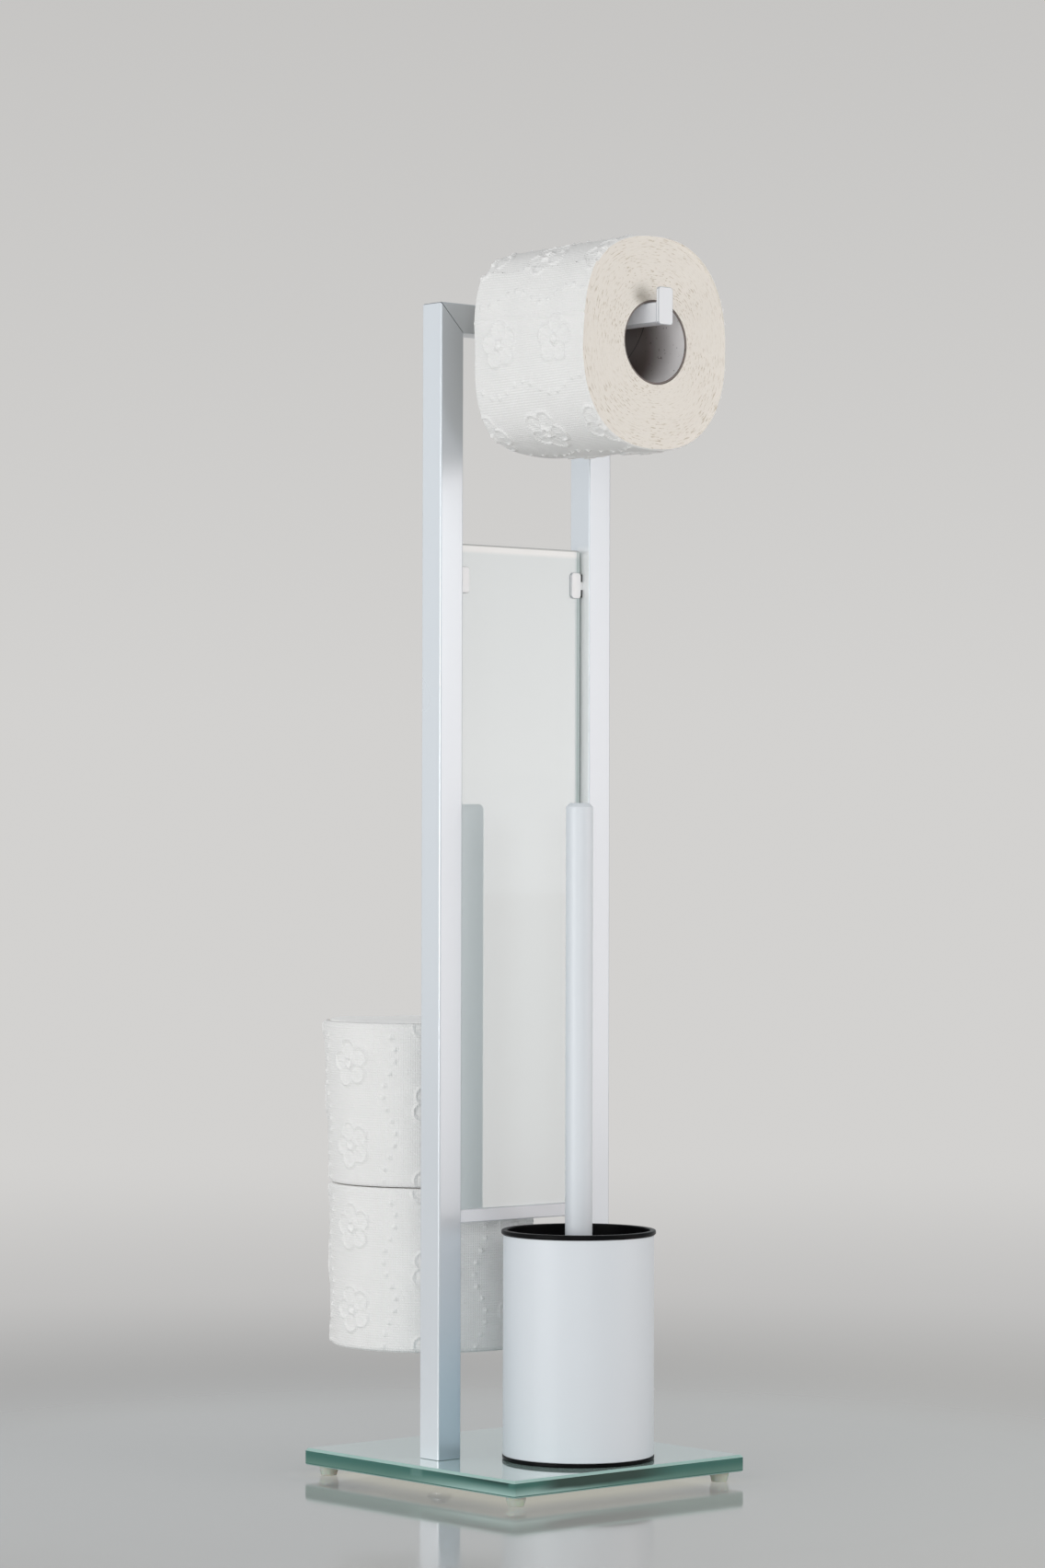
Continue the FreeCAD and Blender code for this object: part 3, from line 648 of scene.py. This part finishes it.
def tissue_end():
    """The cut ends of the layers: cream, with fine rings and short dark flecks along them, and a patch of
    painted shadow by the core, where the stop plate shades the roll on the arm.
    """
    tissue = Finish("tissue_cut_end", (0.78, 0.72, 0.62), 0.9, Sheen_Weight=0.2)
    along, across = tissue.surface(LAYER)
    rings = tissue.noise(1.0, 2.0, tissue.joined(along * 60.0, across * 2600.0))
    fleck = tissue.noise(1.0, 2.0, tissue.joined(along * 170.0, across * 1400.0, 7.0))
    patch = tissue.noise(38.0, 2.0)
    dark = fleck.above(0.61, 0.05) * (0.3 + 0.7 * patch.above(0.5, 0.12))
    # Painted shadow: a dark patch near the core, standing for the shade of the stop plate and the pressed
    # dent.
    core_painted_shadow = abs(along - CORE_SHADOW_ALONG).below(0.010, 0.009) * across.below(0.007, 0.006)
    cream = tissue.mix(rings, (0.87, 0.82, 0.745), (0.94, 0.91, 0.86))
    flecked = tissue.mix(dark * 0.6, cream, (0.42, 0.34, 0.22))
    tissue.set("Base Color", tissue.mix(core_painted_shadow * 0.55, flecked, (0.3, 0.26, 0.2)))
    tissue.bump(rings + fleck * 0.5, 0.4, 0.0005)
    return tissue.material


def grey_board():
    """Spiral-wound grey board with a dark helical seam and specks, painted light near its front rim and
    painted shade further in.
    """
    board = Finish("grey_board", (0.38, 0.37, 0.36), 0.42)
    along, across = board.surface(LAYER)
    spiral = (along * SEAM_TURNS - across * SEAM_TURNS + 0.025).maths("FRACT")
    seam = spiral.below(0.006, 0.002)
    # Painted light and shade: pale near the front rim, where light gets into the core, and dark further in.
    deep_in_shade = (CORE_RIM_ACROSS - across).above(0.019, 0.015)
    speck = board.noise(420.0, 2.0).above(0.7, 0.02)
    shade = board.mix(board.noise(50.0, 3.0), (0.15, 0.12, 0.11), (0.19, 0.155, 0.145))
    shade = board.mix(speck * 0.6, board.mix(deep_in_shade, (0.95, 0.935, 0.94), shade), (0.10, 0.08, 0.07))
    board.set("Base Color", board.mix(seam * 0.9, shade, (0.05, 0.04, 0.035)))
    board.bump(board.noise(800.0, 3.0), 0.25, 0.0003)
    return board.material


TISSUE_SIDE = tissue_side("tissue_side")
LIT_THROUGH = {"Emission_Color": (0.2, 0.2, 0.2), "Emission_Strength": 1.0}
TISSUE_THIN = tissue_side("tissue_lit_through", **LIT_THROUGH)
TISSUE_END = tissue_end()
BOARD = grey_board()

# %% The emboss as relief
MOTIF_RADIUS = 14.5 * MM
MOTIF_LINE = 0.85 * MM
MOTIF_HEIGHT = 1.05 * MM
MOTIF_COLUMNS = 7
MOTIF_ROWS = 2
PETALS = 5
DOT_RADIUS = 1.15 * MM
DOT_HEIGHT = 1.35 * MM
DOT_PITCH = 7.2 * MM


def bell(distance, width):
    """A smooth hump that is 1 at zero distance."""
    return np.exp(-(distance / width) ** 2)


def flower_relief(along, across, turn):
    """Height of the outline of five round petals, with a round eye and a vein in each petal."""
    petal = np.full_like(along, MOTIF_RADIUS)
    vein = np.zeros_like(along)
    for k in range(PETALS):
        angle = turn + 2 * math.pi * k / PETALS
        outward = along * math.cos(angle) + across * math.sin(angle) - 0.58 * MOTIF_RADIUS
        sideways = across * math.cos(angle) - along * math.sin(angle)
        petal = np.minimum(petal, np.hypot(outward, sideways) - 0.4 * MOTIF_RADIUS)
        vein += bell(sideways, MOTIF_LINE) * (np.abs(outward) < 0.2 * MOTIF_RADIUS)
    eye = np.hypot(along, across) - 0.2 * MOTIF_RADIUS
    return bell(petal, MOTIF_LINE) + 0.6 * bell(eye, MOTIF_LINE) + 0.4 * vein


def emboss(along, across, girth, length):
    """Relief of flowers in staggered columns, with a wavy row of dots between the columns."""
    height = np.zeros_like(along)
    step = girth / MOTIF_COLUMNS
    rise = length / MOTIF_ROWS
    for i in range(MOTIF_COLUMNS):
        for j in range(MOTIF_ROWS + 1):
            du = along - step * (i + 0.5)
            dv = across - rise * (j + 0.5 * (i % 2))
            near = np.hypot(du, dv) < MOTIF_RADIUS * 1.3
            turn = math.radians(37 * i + 61 * j)
            height[near] += MOTIF_HEIGHT * flower_relief(du[near], dv[near], turn)
        for k in range(int(length / DOT_PITCH)):
            dv = across - (k + 0.5) * DOT_PITCH
            wave = 4 * MM * math.sin(2 * math.pi * (k + 0.5) * DOT_PITCH / rise + i)
            du = (along - step * i - wave + girth / 2) % girth - girth / 2
            reach = np.hypot(du, dv)
            near = reach < DOT_RADIUS * 3
            height[near] += DOT_HEIGHT * bell(reach[near], DOT_RADIUS)
    return height


# %% [markdown]
# ### Wrapping the grid
# The wrapped skin is a plain grid whose two directions become the angle round the axis and the rows of
# a profile. Each row has a share of the way out from the core, a share of the rounded corner, and a
# place along the axis. The sheet's own measure is kept in a UV map, so grain and flecks follow it.

# %% Wrapping a grid
def wrap_grid(around, rows, reach, place, upright):
    """A closed skin from a grid: reach and place give radius and axial place for (row, angle)."""
    clear_selection()
    bpy.ops.mesh.primitive_grid_add(x_subdivisions=around, y_subdivisions=rows, size=1)
    piece = settle(bpy.context.object)
    mesh = piece.data
    flat = np.zeros(len(mesh.vertices) * 3)
    mesh.vertices.foreach_get("co", flat)
    flat = flat.reshape(-1, 3)
    column = np.rint((flat[:, 0] + 0.5) * around).astype(int)
    row = np.rint((flat[:, 1] + 0.5) * rows).astype(int)
    angle = 2 * np.pi * column / around
    radius = reach(row, angle)
    axial = place(row, angle)
    shape = np.zeros_like(flat)
    shape[:, 0] = radius * np.cos(angle)
    shape[:, 1 if upright else 2] = radius * np.sin(angle)
    shape[:, 2 if upright else 1] = axial
    mesh.vertices.foreach_set("co", shape.ravel())
    return piece, row, column


def lay_sheet_map(piece, along, across):
    """Store the sheet's own measure, in metres, as the UV map of a skin."""
    mesh = piece.data
    mesh.uv_layers.new(name=LAYER)
    for other in [old for old in mesh.uv_layers if old.name != LAYER]:
        mesh.uv_layers.remove(other)
    corner = np.zeros(len(mesh.loops), dtype=int)
    mesh.loops.foreach_get("vertex_index", corner)
    layer = mesh.uv_layers[LAYER]
    layer.data.foreach_set("uv", np.column_stack((along[corner], across[corner])).ravel())


def close_skin(piece, shift):
    """Move a wrapped skin to its axis, merge its seams and turn its faces outward."""
    piece.location = shift
    clear_selection()
    piece.select_set(True)
    bpy.context.view_layer.objects.active = piece
    settle(piece)
    bpy.ops.object.mode_set(mode="EDIT")
    bpy.ops.mesh.select_all(action="SELECT")
    bpy.ops.mesh.remove_doubles(threshold=1e-6)
    bpy.ops.mesh.normals_make_consistent(inside=False)
    leave_edit()
    smooth(piece, 50)


AROUND = 580
SIDE_ROWS = 140
END_ROWS = 10
CORNER_ROWS = 4


def roll_profile(length, corner):
    """Rows of a roll's skin: share of the way out, share of the corner, and place along the axis."""
    rows = [(i / END_ROWS, 0.0, 0.0) for i in range(END_ROWS)]
    for i in range(CORNER_ROWS):
        bend = math.pi / 2 * i / CORNER_ROWS
        rows.append((1.0, math.sin(bend), corner * (1 - math.cos(bend))))
    for i in range(SIDE_ROWS + 1):
        rows.append((1.0, 1.0, corner + (length - 2 * corner) * i / SIDE_ROWS))
    for i in range(1, CORNER_ROWS + 1):
        bend = math.pi / 2 * i / CORNER_ROWS
        rows.append((1.0, math.cos(bend), length - corner * (1 - math.sin(bend))))
    for i in range(1, END_ROWS + 1):
        rows.append((1 - i / END_ROWS, 0.0, length))
    rows.append((0.0, 0.0, 0.0))
    return np.array(rows)


def paper_roll(node, core_radius, corner, outline, upright):
    """The wound paper of one roll, from its CAD box and an outline of radius by angle and place."""
    low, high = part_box(node)
    axis = 2 if upright else 1
    length = high[axis] - low[axis]
    profile = roll_profile(length, corner)
    share, bend, place = profile.T
    girth = math.pi * (high.x - low.x + high[3 - axis] - low[3 - axis]) / 2

    def along_of(angle):
        return angle / (2 * math.pi) * girth

    def reach(row, angle):
        outer = outline(angle, place[row] / length)
        relief = emboss(along_of(angle), place[row], girth, length)
        full = core_radius + (outer - corner - core_radius) * share[row] + corner * bend[row]
        return full + relief * bend[row] ** 4

    def axial(row, angle):
        layers = 0.25 * MM * np.sin(share[row] * 37 + 3 * np.sin(angle * 2))
        waves = 0.3 * MM * np.sin(angle * 3 + share[row] * 5)
        pressed = 2.4 * MM * bell(angle - math.radians(110), 0.3) * bell(share[row], 0.3)
        inward = np.where(place[row] < length / 2, 1, -1) * (bend[row] == 0) * (share[row] > 0)
        return place[row] + inward * (0.6 * MM + layers + waves + pressed)

    piece, row, column = wrap_grid(AROUND, len(profile) - 1, reach, axial, upright)
    out = core_radius + share * 35 * MM
    travel = np.concatenate(([0], np.cumsum(np.hypot(np.diff(out), np.diff(place)))))
    lay_sheet_map(piece, along_of(2 * np.pi * column / AROUND), travel[row])
    face_row = np.array([row[face.vertices[0]] for face in piece.data.polygons])
    cut_end = (bend[face_row] < 0.3) & (bend[np.minimum(face_row + 1, len(bend) - 1)] < 0.6)
    piece.data.materials.append(TISSUE_SIDE)
    piece.data.materials.append(TISSUE_END)
    piece.data.polygons.foreach_set("material_index", cut_end.astype(int))
    centre = middle_of(node)
    shift = Vector((centre.x, centre.y, low.z)) if upright else Vector((centre.x, low.y, centre.z))
    close_skin(piece, shift)
    body = node.replace("_paper", "")
    hand_over(piece, node + "_wound", body, None, [node])


# %% [markdown]
# ### Three rolls
# The spare rolls are fresh and round; the upper one has loosened a little and flares at its top. The
# roll on the arm has been handled: its outline is squarish, its free end lies along the upper left,
# and soft folds run down from that edge.

# %% Three rolls
def squarish(angle, half_width, half_height, power):
    across = np.abs(np.cos(angle) / half_width) ** power
    upright = np.abs(np.sin(angle) / half_height) ** power
    return (across + upright) ** (-1 / power)


def hung_outline(angle, share):
    low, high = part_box("hung_roll_paper")
    left = np.clip(-np.cos(angle) * 1.6, 0, 1)
    square = 2.35 + left * (0.15 + 0.55 * share)
    half_height = ((high.z - low.z) / 2 - 0.4 * MM) * (1 - 0.025 * share)
    base = squarish(angle, (high.x - low.x) / 2, half_height, square)
    edge = math.radians(136) + math.radians(3.5) * share + 0.012 * np.sin(share * 19)
    past = (angle - edge) % (2 * np.pi)
    step = 0.9 * MM * (1 - past / (2 * np.pi))
    lift = 1.4 * MM * np.exp(-past / 0.2) * (0.25 + 0.75 * share ** 2)
    window = bell(angle - math.radians(172), math.radians(32))
    folds = 0.7 * MM * np.sin(share * 17 + 1.4 * np.sin(angle * 4)) * window
    crease = 0.5 * MM * bell(angle - math.radians(166) - 0.03 * np.sin(share * 6), 0.014)
    return base + step + lift + folds + crease


VIEW_LEFT = math.radians(139)


def spare_outline(node, spare, flare, phase):
    """A round roll, larger or smaller by its spare, leaning to the photo's left by a growing flare."""
    low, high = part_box(node)
    radius = (high.x - low.x) / 2 + spare

    def outline(angle, share):
        wave = 0.25 * MM * np.sin(angle * 2 + phase) + 0.15 * MM * np.sin(angle * 5 + 4 * share)
        lean = flare * (share ** 1.3 - 0.05) * np.cos(angle - VIEW_LEFT)
        return radius + wave + lean

    return outline


CORE_GAP = 0.1 * MM


def core_radius(node):
    low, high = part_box(node)
    return (high.x - low.x) / 2 + CORE_GAP


paper_roll("hung_roll_paper", core_radius("hung_roll_core"), 1.4 * MM, hung_outline, False)
lower_outline = spare_outline("lower_spare_paper", 0.9 * MM, 1.2 * MM, 0)
paper_roll("lower_spare_paper", core_radius("lower_spare_core"), 2.6 * MM, lower_outline, True)
upper_outline = spare_outline("upper_spare_paper", -0.4 * MM, 4.2 * MM, 2)
paper_roll("upper_spare_paper", core_radius("upper_spare_core"), 2.6 * MM, upper_outline, True)

# %% [markdown]
# ### The loose sheet on top
# The free end of the upper roll is folded over its top, where it hides the core. It is a small grid
# bent to a disc with one straight side, lifted along that free side, and given a little thickness. A
# single sheet lets light through, which a faint glow stands for.

# %% Loose sheet
VIEW_AWAY = VIEW_LEFT - math.pi / 2
FLAP_RADIUS = 61.5 * MM
FLAP_FRONT = 58 * MM
FLAP_DEPTH = 84 * MM


def top_flap(node):
    centre = middle_of(node)
    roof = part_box(node)[1].z
    left = Vector((math.cos(VIEW_LEFT), math.sin(VIEW_LEFT), 0))
    away = Vector((math.cos(VIEW_AWAY), math.sin(VIEW_AWAY), 0))
    top = Vector((centre.x, centre.y, roof)) + left * 2 * MM
    clear_selection()
    bpy.ops.mesh.primitive_grid_add(x_subdivisions=56, y_subdivisions=40, size=2)
    flap = settle(bpy.context.object)
    for vertex in flap.data.vertices:
        side = vertex.co.x
        back = (vertex.co.y + 1) / 2
        depth = FLAP_DEPTH * back - FLAP_FRONT
        width = math.sqrt(FLAP_RADIUS ** 2 - depth ** 2)
        free = back ** 4 * (0.7 + 0.5 * math.sin(7 * side + 1))
        rim = max(abs(side), 1 - 4 * back) ** 4
        lift = (0.15 * math.sin(5 * side + 6 * back) + 0.45 - 0.8 * rim + free) * MM
        vertex.co = top + left * side * width + away * depth + Vector((0, 0, lift))
    clear_selection()
    flap.select_set(True)
    bpy.context.view_layer.objects.active = flap
    flat = np.array([vertex.co[:2] for vertex in flap.data.vertices])
    lay_sheet_map(flap, flat[:, 0], flat[:, 1])
    thicken = flap.modifiers.new("thickness", "SOLIDIFY")
    thicken.thickness = 0.35 * MM
    bpy.ops.object.modifier_apply(modifier=thicken.name)
    smooth(flap, 50)
    hand_over(flap, "upper_spare_loose_sheet", "upper_spare", TISSUE_THIN, [])


top_flap("upper_spare_paper")

# %% [markdown]
# ### Cardboard cores
# A core is wrapped from a grid too, with a profile that runs round the cut through its wall. Its map
# measures the way along that profile, so the seam can climb as a helix.

# %% Cardboard cores
def board_core(node, upright):
    """A spiral-wound tube: inner edge, outer edge and back again, wrapped like the paper."""
    low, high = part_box(node)
    axis = 2 if upright else 1
    outer = (high.x - low.x) / 2
    inner = outer - 1.2 * MM
    length = high[axis] - low[axis]
    soft = 0.25 * MM
    profile = np.array([
        (inner, soft), (inner + soft, 0), (outer - soft, 0), (outer, soft),
        (outer, length - soft), (outer - soft, length), (inner + soft, length), (inner, length - soft),
        (inner, length * 0.5), (inner, soft),
    ])
    around = 96
    radius, place = profile.T
    rows = len(profile) - 1
    piece, row, column = wrap_grid(around, rows, lambda r, a: radius[r], lambda r, a: place[r], upright)
    travel = np.concatenate(([0], np.cumsum(np.hypot(*np.diff(profile, axis=0).T))))
    lay_sheet_map(piece, column / around * 2 * np.pi * inner, travel[row])
    centre = middle_of(node)
    shift = Vector((centre.x, centre.y, low.z)) if upright else Vector((centre.x, low.y, centre.z))
    close_skin(piece, shift)
    hand_over(piece, node + "_board", node.replace("_core", ""), BOARD, [node])


board_core("hung_roll_core", False)
board_core("lower_spare_core", True)
board_core("upper_spare_core", True)

# %% [markdown]
# ## Arm and stop plate
# The arm is a square bar, and the plate welded to its end stands up to stop the roll sliding off. The
# plate's corners are rounded first and its face edges softened after.

# %% Arm and stop plate
def roll_arm():
    low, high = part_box("roll_arm")
    piece = block_between(low, high)
    length = high.y - low.y
    round_edges(piece, lambda a, b: abs(a.y - b.y) > length * 0.9, 0.7 * MM, 3)
    smooth(piece)
    hand_over(piece, "roll_arm_coated", "stand", ARM_WHITE, ["roll_arm"])

    low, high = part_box("arm_end_plate")
    plate = block_between(low, high)

    def is_corner(a, b):
        level = a.z > high.z - 0.1 * MM or a.z < low.z + 0.1 * MM
        return level and abs(a.z - b.z) < 0.01 * MM and abs(a.y - b.y) > 1 * MM

    round_edges(plate, is_corner, 2.0 * MM, 6)
    round_edges(plate, lambda a, b: abs(a.y - b.y) < 0.01 * MM, 0.35 * MM, 2)
    smooth(plate)
    hand_over(plate, "arm_end_plate_coated", "stand", ARM_WHITE, ["arm_end_plate"])


roll_arm()

# %% [markdown]
# ## Bristles
# The brush head carries tufts of nylon. One tuft of splayed, tapering bristles is modelled at the
# origin and copied to every tuft place on the head, then all copies are joined.

# %% Bristles
TUFT_ROWS = 5
TUFTS_PER_ROW = 10
END_TUFTS = 6
END_SLOPE = math.radians(50)
TUFT_RADIUS = 1.6 * MM
TUFT_LENGTH = 20 * MM
BRISTLES_PER_TUFT = 30
BRISTLE_SPLAY = 0.24


def one_tuft():
    """A bundle of thin tapering bristles, splayed from the root, standing on the origin."""
    strands = []
    for i in range(BRISTLES_PER_TUFT):
        turn = i * 2.4
        spread = math.sqrt((i + 0.5) / BRISTLES_PER_TUFT)
        clear_selection()
        bpy.ops.mesh.primitive_cone_add(vertices=5, radius1=0.24 * MM, radius2=0.17 * MM, depth=TUFT_LENGTH)
        strand = bpy.context.object
        strand.location = (0, 0, TUFT_LENGTH / 2)
        settle(strand)
        foot = Vector((math.cos(turn), math.sin(turn), 0)) * spread
        lean = Matrix.Shear("XY", 4, (foot.x * BRISTLE_SPLAY, foot.y * BRISTLE_SPLAY))
        strand.data.transform(Matrix.Translation(foot * (TUFT_RADIUS - 0.9 * MM)) @ lean)
        strands.append(strand)
    clear_selection()
    for strand in strands:
        strand.select_set(True)
    bpy.context.view_layer.objects.active = strands[0]
    bpy.ops.object.join()
    return bpy.context.object


def tuft_places():
    """Root and direction of every tuft on the head."""
    low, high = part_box("brush_head")
    centre = middle_of("brush_head")
    radius = (high.x - low.x) / 2
    root = radius + 0.1 * MM
    dome = Vector((centre.x, centre.y, low.z + radius))
    straight = 62 * MM - radius - 2 * TUFT_RADIUS
    places = []
    for row in range(TUFT_ROWS):
        for i in range(TUFTS_PER_ROW):
            angle = 2 * math.pi * (i + 0.5 * (row % 2)) / TUFTS_PER_ROW
            out = Vector((math.cos(angle), math.sin(angle), 0))
            places.append((dome + Vector((0, 0, row * straight / (TUFT_ROWS - 1))) + out * root, out))
    for i in range(END_TUFTS):
        angle = 2 * math.pi * i / END_TUFTS
        flat = Vector((math.cos(angle), math.sin(angle), 0)) * math.cos(END_SLOPE)
        out = flat - Vector((0, 0, math.sin(END_SLOPE)))
        places.append((dome + out * root, out))
    down = Vector((0, 0, -1))
    places.append((dome + down * root, down))
    return places


def bristles():
    pattern = one_tuft()
    copies = []
    for root, out in tuft_places():
        copy = pattern.copy()
        copy.data = pattern.data.copy()
        bpy.context.collection.objects.link(copy)
        copy.data.transform(Matrix.Translation(root) @ out.to_track_quat("Z", "Y").to_matrix().to_4x4())
        copies.append(copy)
    bpy.data.objects.remove(pattern)
    clear_selection()
    for copy in copies:
        copy.select_set(True)
    bpy.context.view_layer.objects.active = copies[0]
    bpy.ops.object.join()
    piece = bpy.context.object
    hand_over(piece, "brush_bristles_fine", "brush", FINISHES["bristle"], ["brush_bristles"])


bristles()

# %% [markdown]
# ## Stage, light and camera
# The stand is seen on a pale glossy floor before a pale wall. Two warm softboxes at the right front are
# what the tubes and the glass panel mirror; above them the room is darker, which greys the tubes' tops.
# Toward the floor the mirrored room grows paler again, so that no horizon shows in the panel. Glass
# passes light to the floor below it, which the floor shows as painted light: a paler, glowing patch
# under the base.

# %% Stage
# On the floor, VIEW_RIGHT points to the photo's right, and MIRRORED_WAY to what the panel mirrors.
VIEW_RIGHT = (0.754, -0.656)
MIRRORED_WAY = (0.656, -0.754, 0.0)
WARM = (1.0, 0.885, 0.845)


def stage_floor(near_colour, far_colour):
    """A glossy floor that goes over into the pale wall behind it, so that no horizon shows."""
    clear_selection()
    bpy.ops.mesh.primitive_plane_add(size=60)
    floor = settle(bpy.context.object)
    floor.name = "floor"
    finish = Finish("pale_floor", (0.585, 0.58, 0.57), 0.14)
    x, y, _ = finish.place()
    reach = (x * x + y * y).maths("SQRT")
    rightward = (x * VIEW_RIGHT[0] + y * VIEW_RIGHT[1]).above(0.12, 0.25)
    finish.set("Base Color", finish.mix(rightward, (0.58, 0.575, 0.565), (0.70, 0.69, 0.665)))
    finish.set("Roughness", 0.05 + finish.noise(3.0, 2.0) * 0.03 + reach.above(0.45, 0.25) * 0.4)
    glow = finish.mix(reach.above(1.6, 1.3), near_colour, far_colour)
    path = finish.nodes.new("ShaderNodeLightPath").outputs
    camera, glossy, through = (path[f"Is {kind} Ray"] for kind in ("Camera", "Glossy", "Transmission"))
    seen = Signal(finish, camera) + Signal(finish, glossy) + Signal(finish, through)
    # Painted light: a paler glowing patch under the base, for the light the glass passes to the floor.
    under_x = abs(x).below(BASE_HIGH.x, 0.02)
    under_y = abs(y - middle_of("base_plate").y).below((BASE_HIGH.y - BASE_LOW.y) / 2, 0.02)
    under = under_x * under_y
    shown = finish.mix(under, glow, (0.52, 0.51, 0.45))
    finish.glow(shown, seen * (reach.above(0.75, 0.45) + under * 0.75))
    floor.data.materials.append(finish.material)


def room_light(wall_colour, mirrored_colour, dark_colour, light_colour):
    """A world that lights softly, looks like a pale wall, and is mirrored as a darker room in front."""
    world = bpy.data.worlds.new("room")
    bpy.context.scene.world = world
    world.use_nodes = True
    nodes = world.node_tree.nodes
    links = world.node_tree.links

    def background(colour):
        made = nodes.new("ShaderNodeBackground")
        made.inputs["Color"].default_value = colour + (1,)
        return made.outputs[0]

    def choose(factor, first, second):
        made = nodes.new("ShaderNodeMixShader")
        for socket, source in zip(made.inputs, (factor, first, second)):
            links.new(source, socket)
        return made.outputs[0]

    def ramp(value, start, end):
        made = nodes.new("ShaderNodeMapRange")
        links.new(value, made.inputs["Value"])
        made.inputs["From Min"].default_value = start
        made.inputs["From Max"].default_value = end
        return made

    direction = nodes.new("ShaderNodeTexCoord").outputs["Generated"]
    toward = nodes.new("ShaderNodeVectorMath")
    toward.operation = "DOT_PRODUCT"
    links.new(direction, toward.inputs[0])
    toward.inputs[1].default_value = MIRRORED_WAY
    path = nodes.new("ShaderNodeLightPath")
    split = nodes.new("ShaderNodeSeparateXYZ")
    links.new(direction, split.inputs[0])
    height = split.outputs["Z"]
    wall_top = tuple(channel * 0.86 for channel in wall_colour)
    wall = choose(ramp(height, 0.03, 0.2).outputs[0], background(wall_colour), background(wall_top))
    front = ramp(toward.outputs["Value"], -1.0, 0.8)
    links.new(ramp(height, 0.0, 0.07).outputs[0], front.inputs["To Max"])
    mirrored = choose(front.outputs[0], background(mirrored_colour), background(dark_colour))
    ceiling = tuple(channel * 0.55 for channel in light_colour)
    ambient = choose(ramp(height, 0.15, 0.9).outputs[0], background(light_colour), background(ceiling))
    lit = choose(path.outputs["Is Glossy Ray"], ambient, mirrored)
    shown = choose(path.outputs["Is Camera Ray"], lit, wall)
    links.new(shown, nodes["World Output"].inputs["Surface"])


def softbox(name, place, target, width, height, radiance, colour=(1, 1, 1)):
    light = bpy.data.lights.new(name, "AREA")
    light.shape = "RECTANGLE"
    light.size = width
    light.size_y = height
    light.energy = radiance * math.pi * width * height
    light.color = colour
    lamp = bpy.data.objects.new(name, light)
    bpy.context.collection.objects.link(lamp)
    lamp.location = place
    lamp.rotation_euler = (Vector(target) - Vector(place)).to_track_quat("-Z", "Y").to_euler()
    lamp.visible_camera = False


stage_floor((0.50, 0.495, 0.49), (0.65, 0.642, 0.63))
room_light((0.65, 0.642, 0.63), (0.80, 0.81, 0.815), (0.28, 0.325, 0.345), (0.655, 0.65, 0.645))
softbox("front_upper", (1.05, -1.25, 0.65), (0, 0, 0.65), 1.1, 0.40, 1.22, WARM)
softbox("front_lower", (1.05, -1.25, 0.20), (0, 0, 0.20), 1.1, 0.50, 1.17, WARM)
softbox("high_front", (0.8, -1.9, 1.0), (0, 0, 0.4), 1.0, 0.8, 2.0)
softbox("left", (-2.5, -0.1, 0.42), (0, 0, 0.4), 1.6, 0.84, 4.15)
softbox("behind_camera", (-2.2, -2.6, 0.7), (0, 0, 0.4), 2.2, 1.6, 1.55)
softbox("left_back", (-1.35, 1.5, 0.5), (0, 0, 0.4), 1.8, 1.3, 0.42, (0.95, 0.98, 1.0))

# %% Camera
YAW = 0.7162
PITCH = 0.0151
ROLL = 0.0024
FOCAL_PIXELS = 4951.4
PHOTO_SIZE = (1136, 1704)
CAMERA_PLACE = (-1.80127, -2.07999, 0.3753)


def photo_camera():
    """The camera that took the photo, found by fitting edges of known size."""
    forward = Vector((math.sin(YAW) * math.cos(PITCH), math.cos(YAW) * math.cos(PITCH), math.sin(PITCH)))
    level = Vector((math.cos(YAW), -math.sin(YAW), 0))
    rise = level.cross(forward)
    right = level * math.cos(ROLL) + rise * math.sin(ROLL)
    up = rise * math.cos(ROLL) - level * math.sin(ROLL)
    data = bpy.data.cameras.new("photo_camera")
    data.sensor_fit = "VERTICAL"
    data.sensor_height = 36
    data.lens = FOCAL_PIXELS / PHOTO_SIZE[1] * data.sensor_height
    camera = bpy.data.objects.new("photo_camera", data)
    bpy.context.collection.objects.link(camera)
    turn = Matrix((right, up, -forward)).transposed().to_4x4()
    camera.matrix_world = Matrix.Translation(CAMERA_PLACE) @ turn
    bpy.context.scene.camera = camera
    bpy.context.scene.view_settings.view_transform = "Standard"


photo_camera()
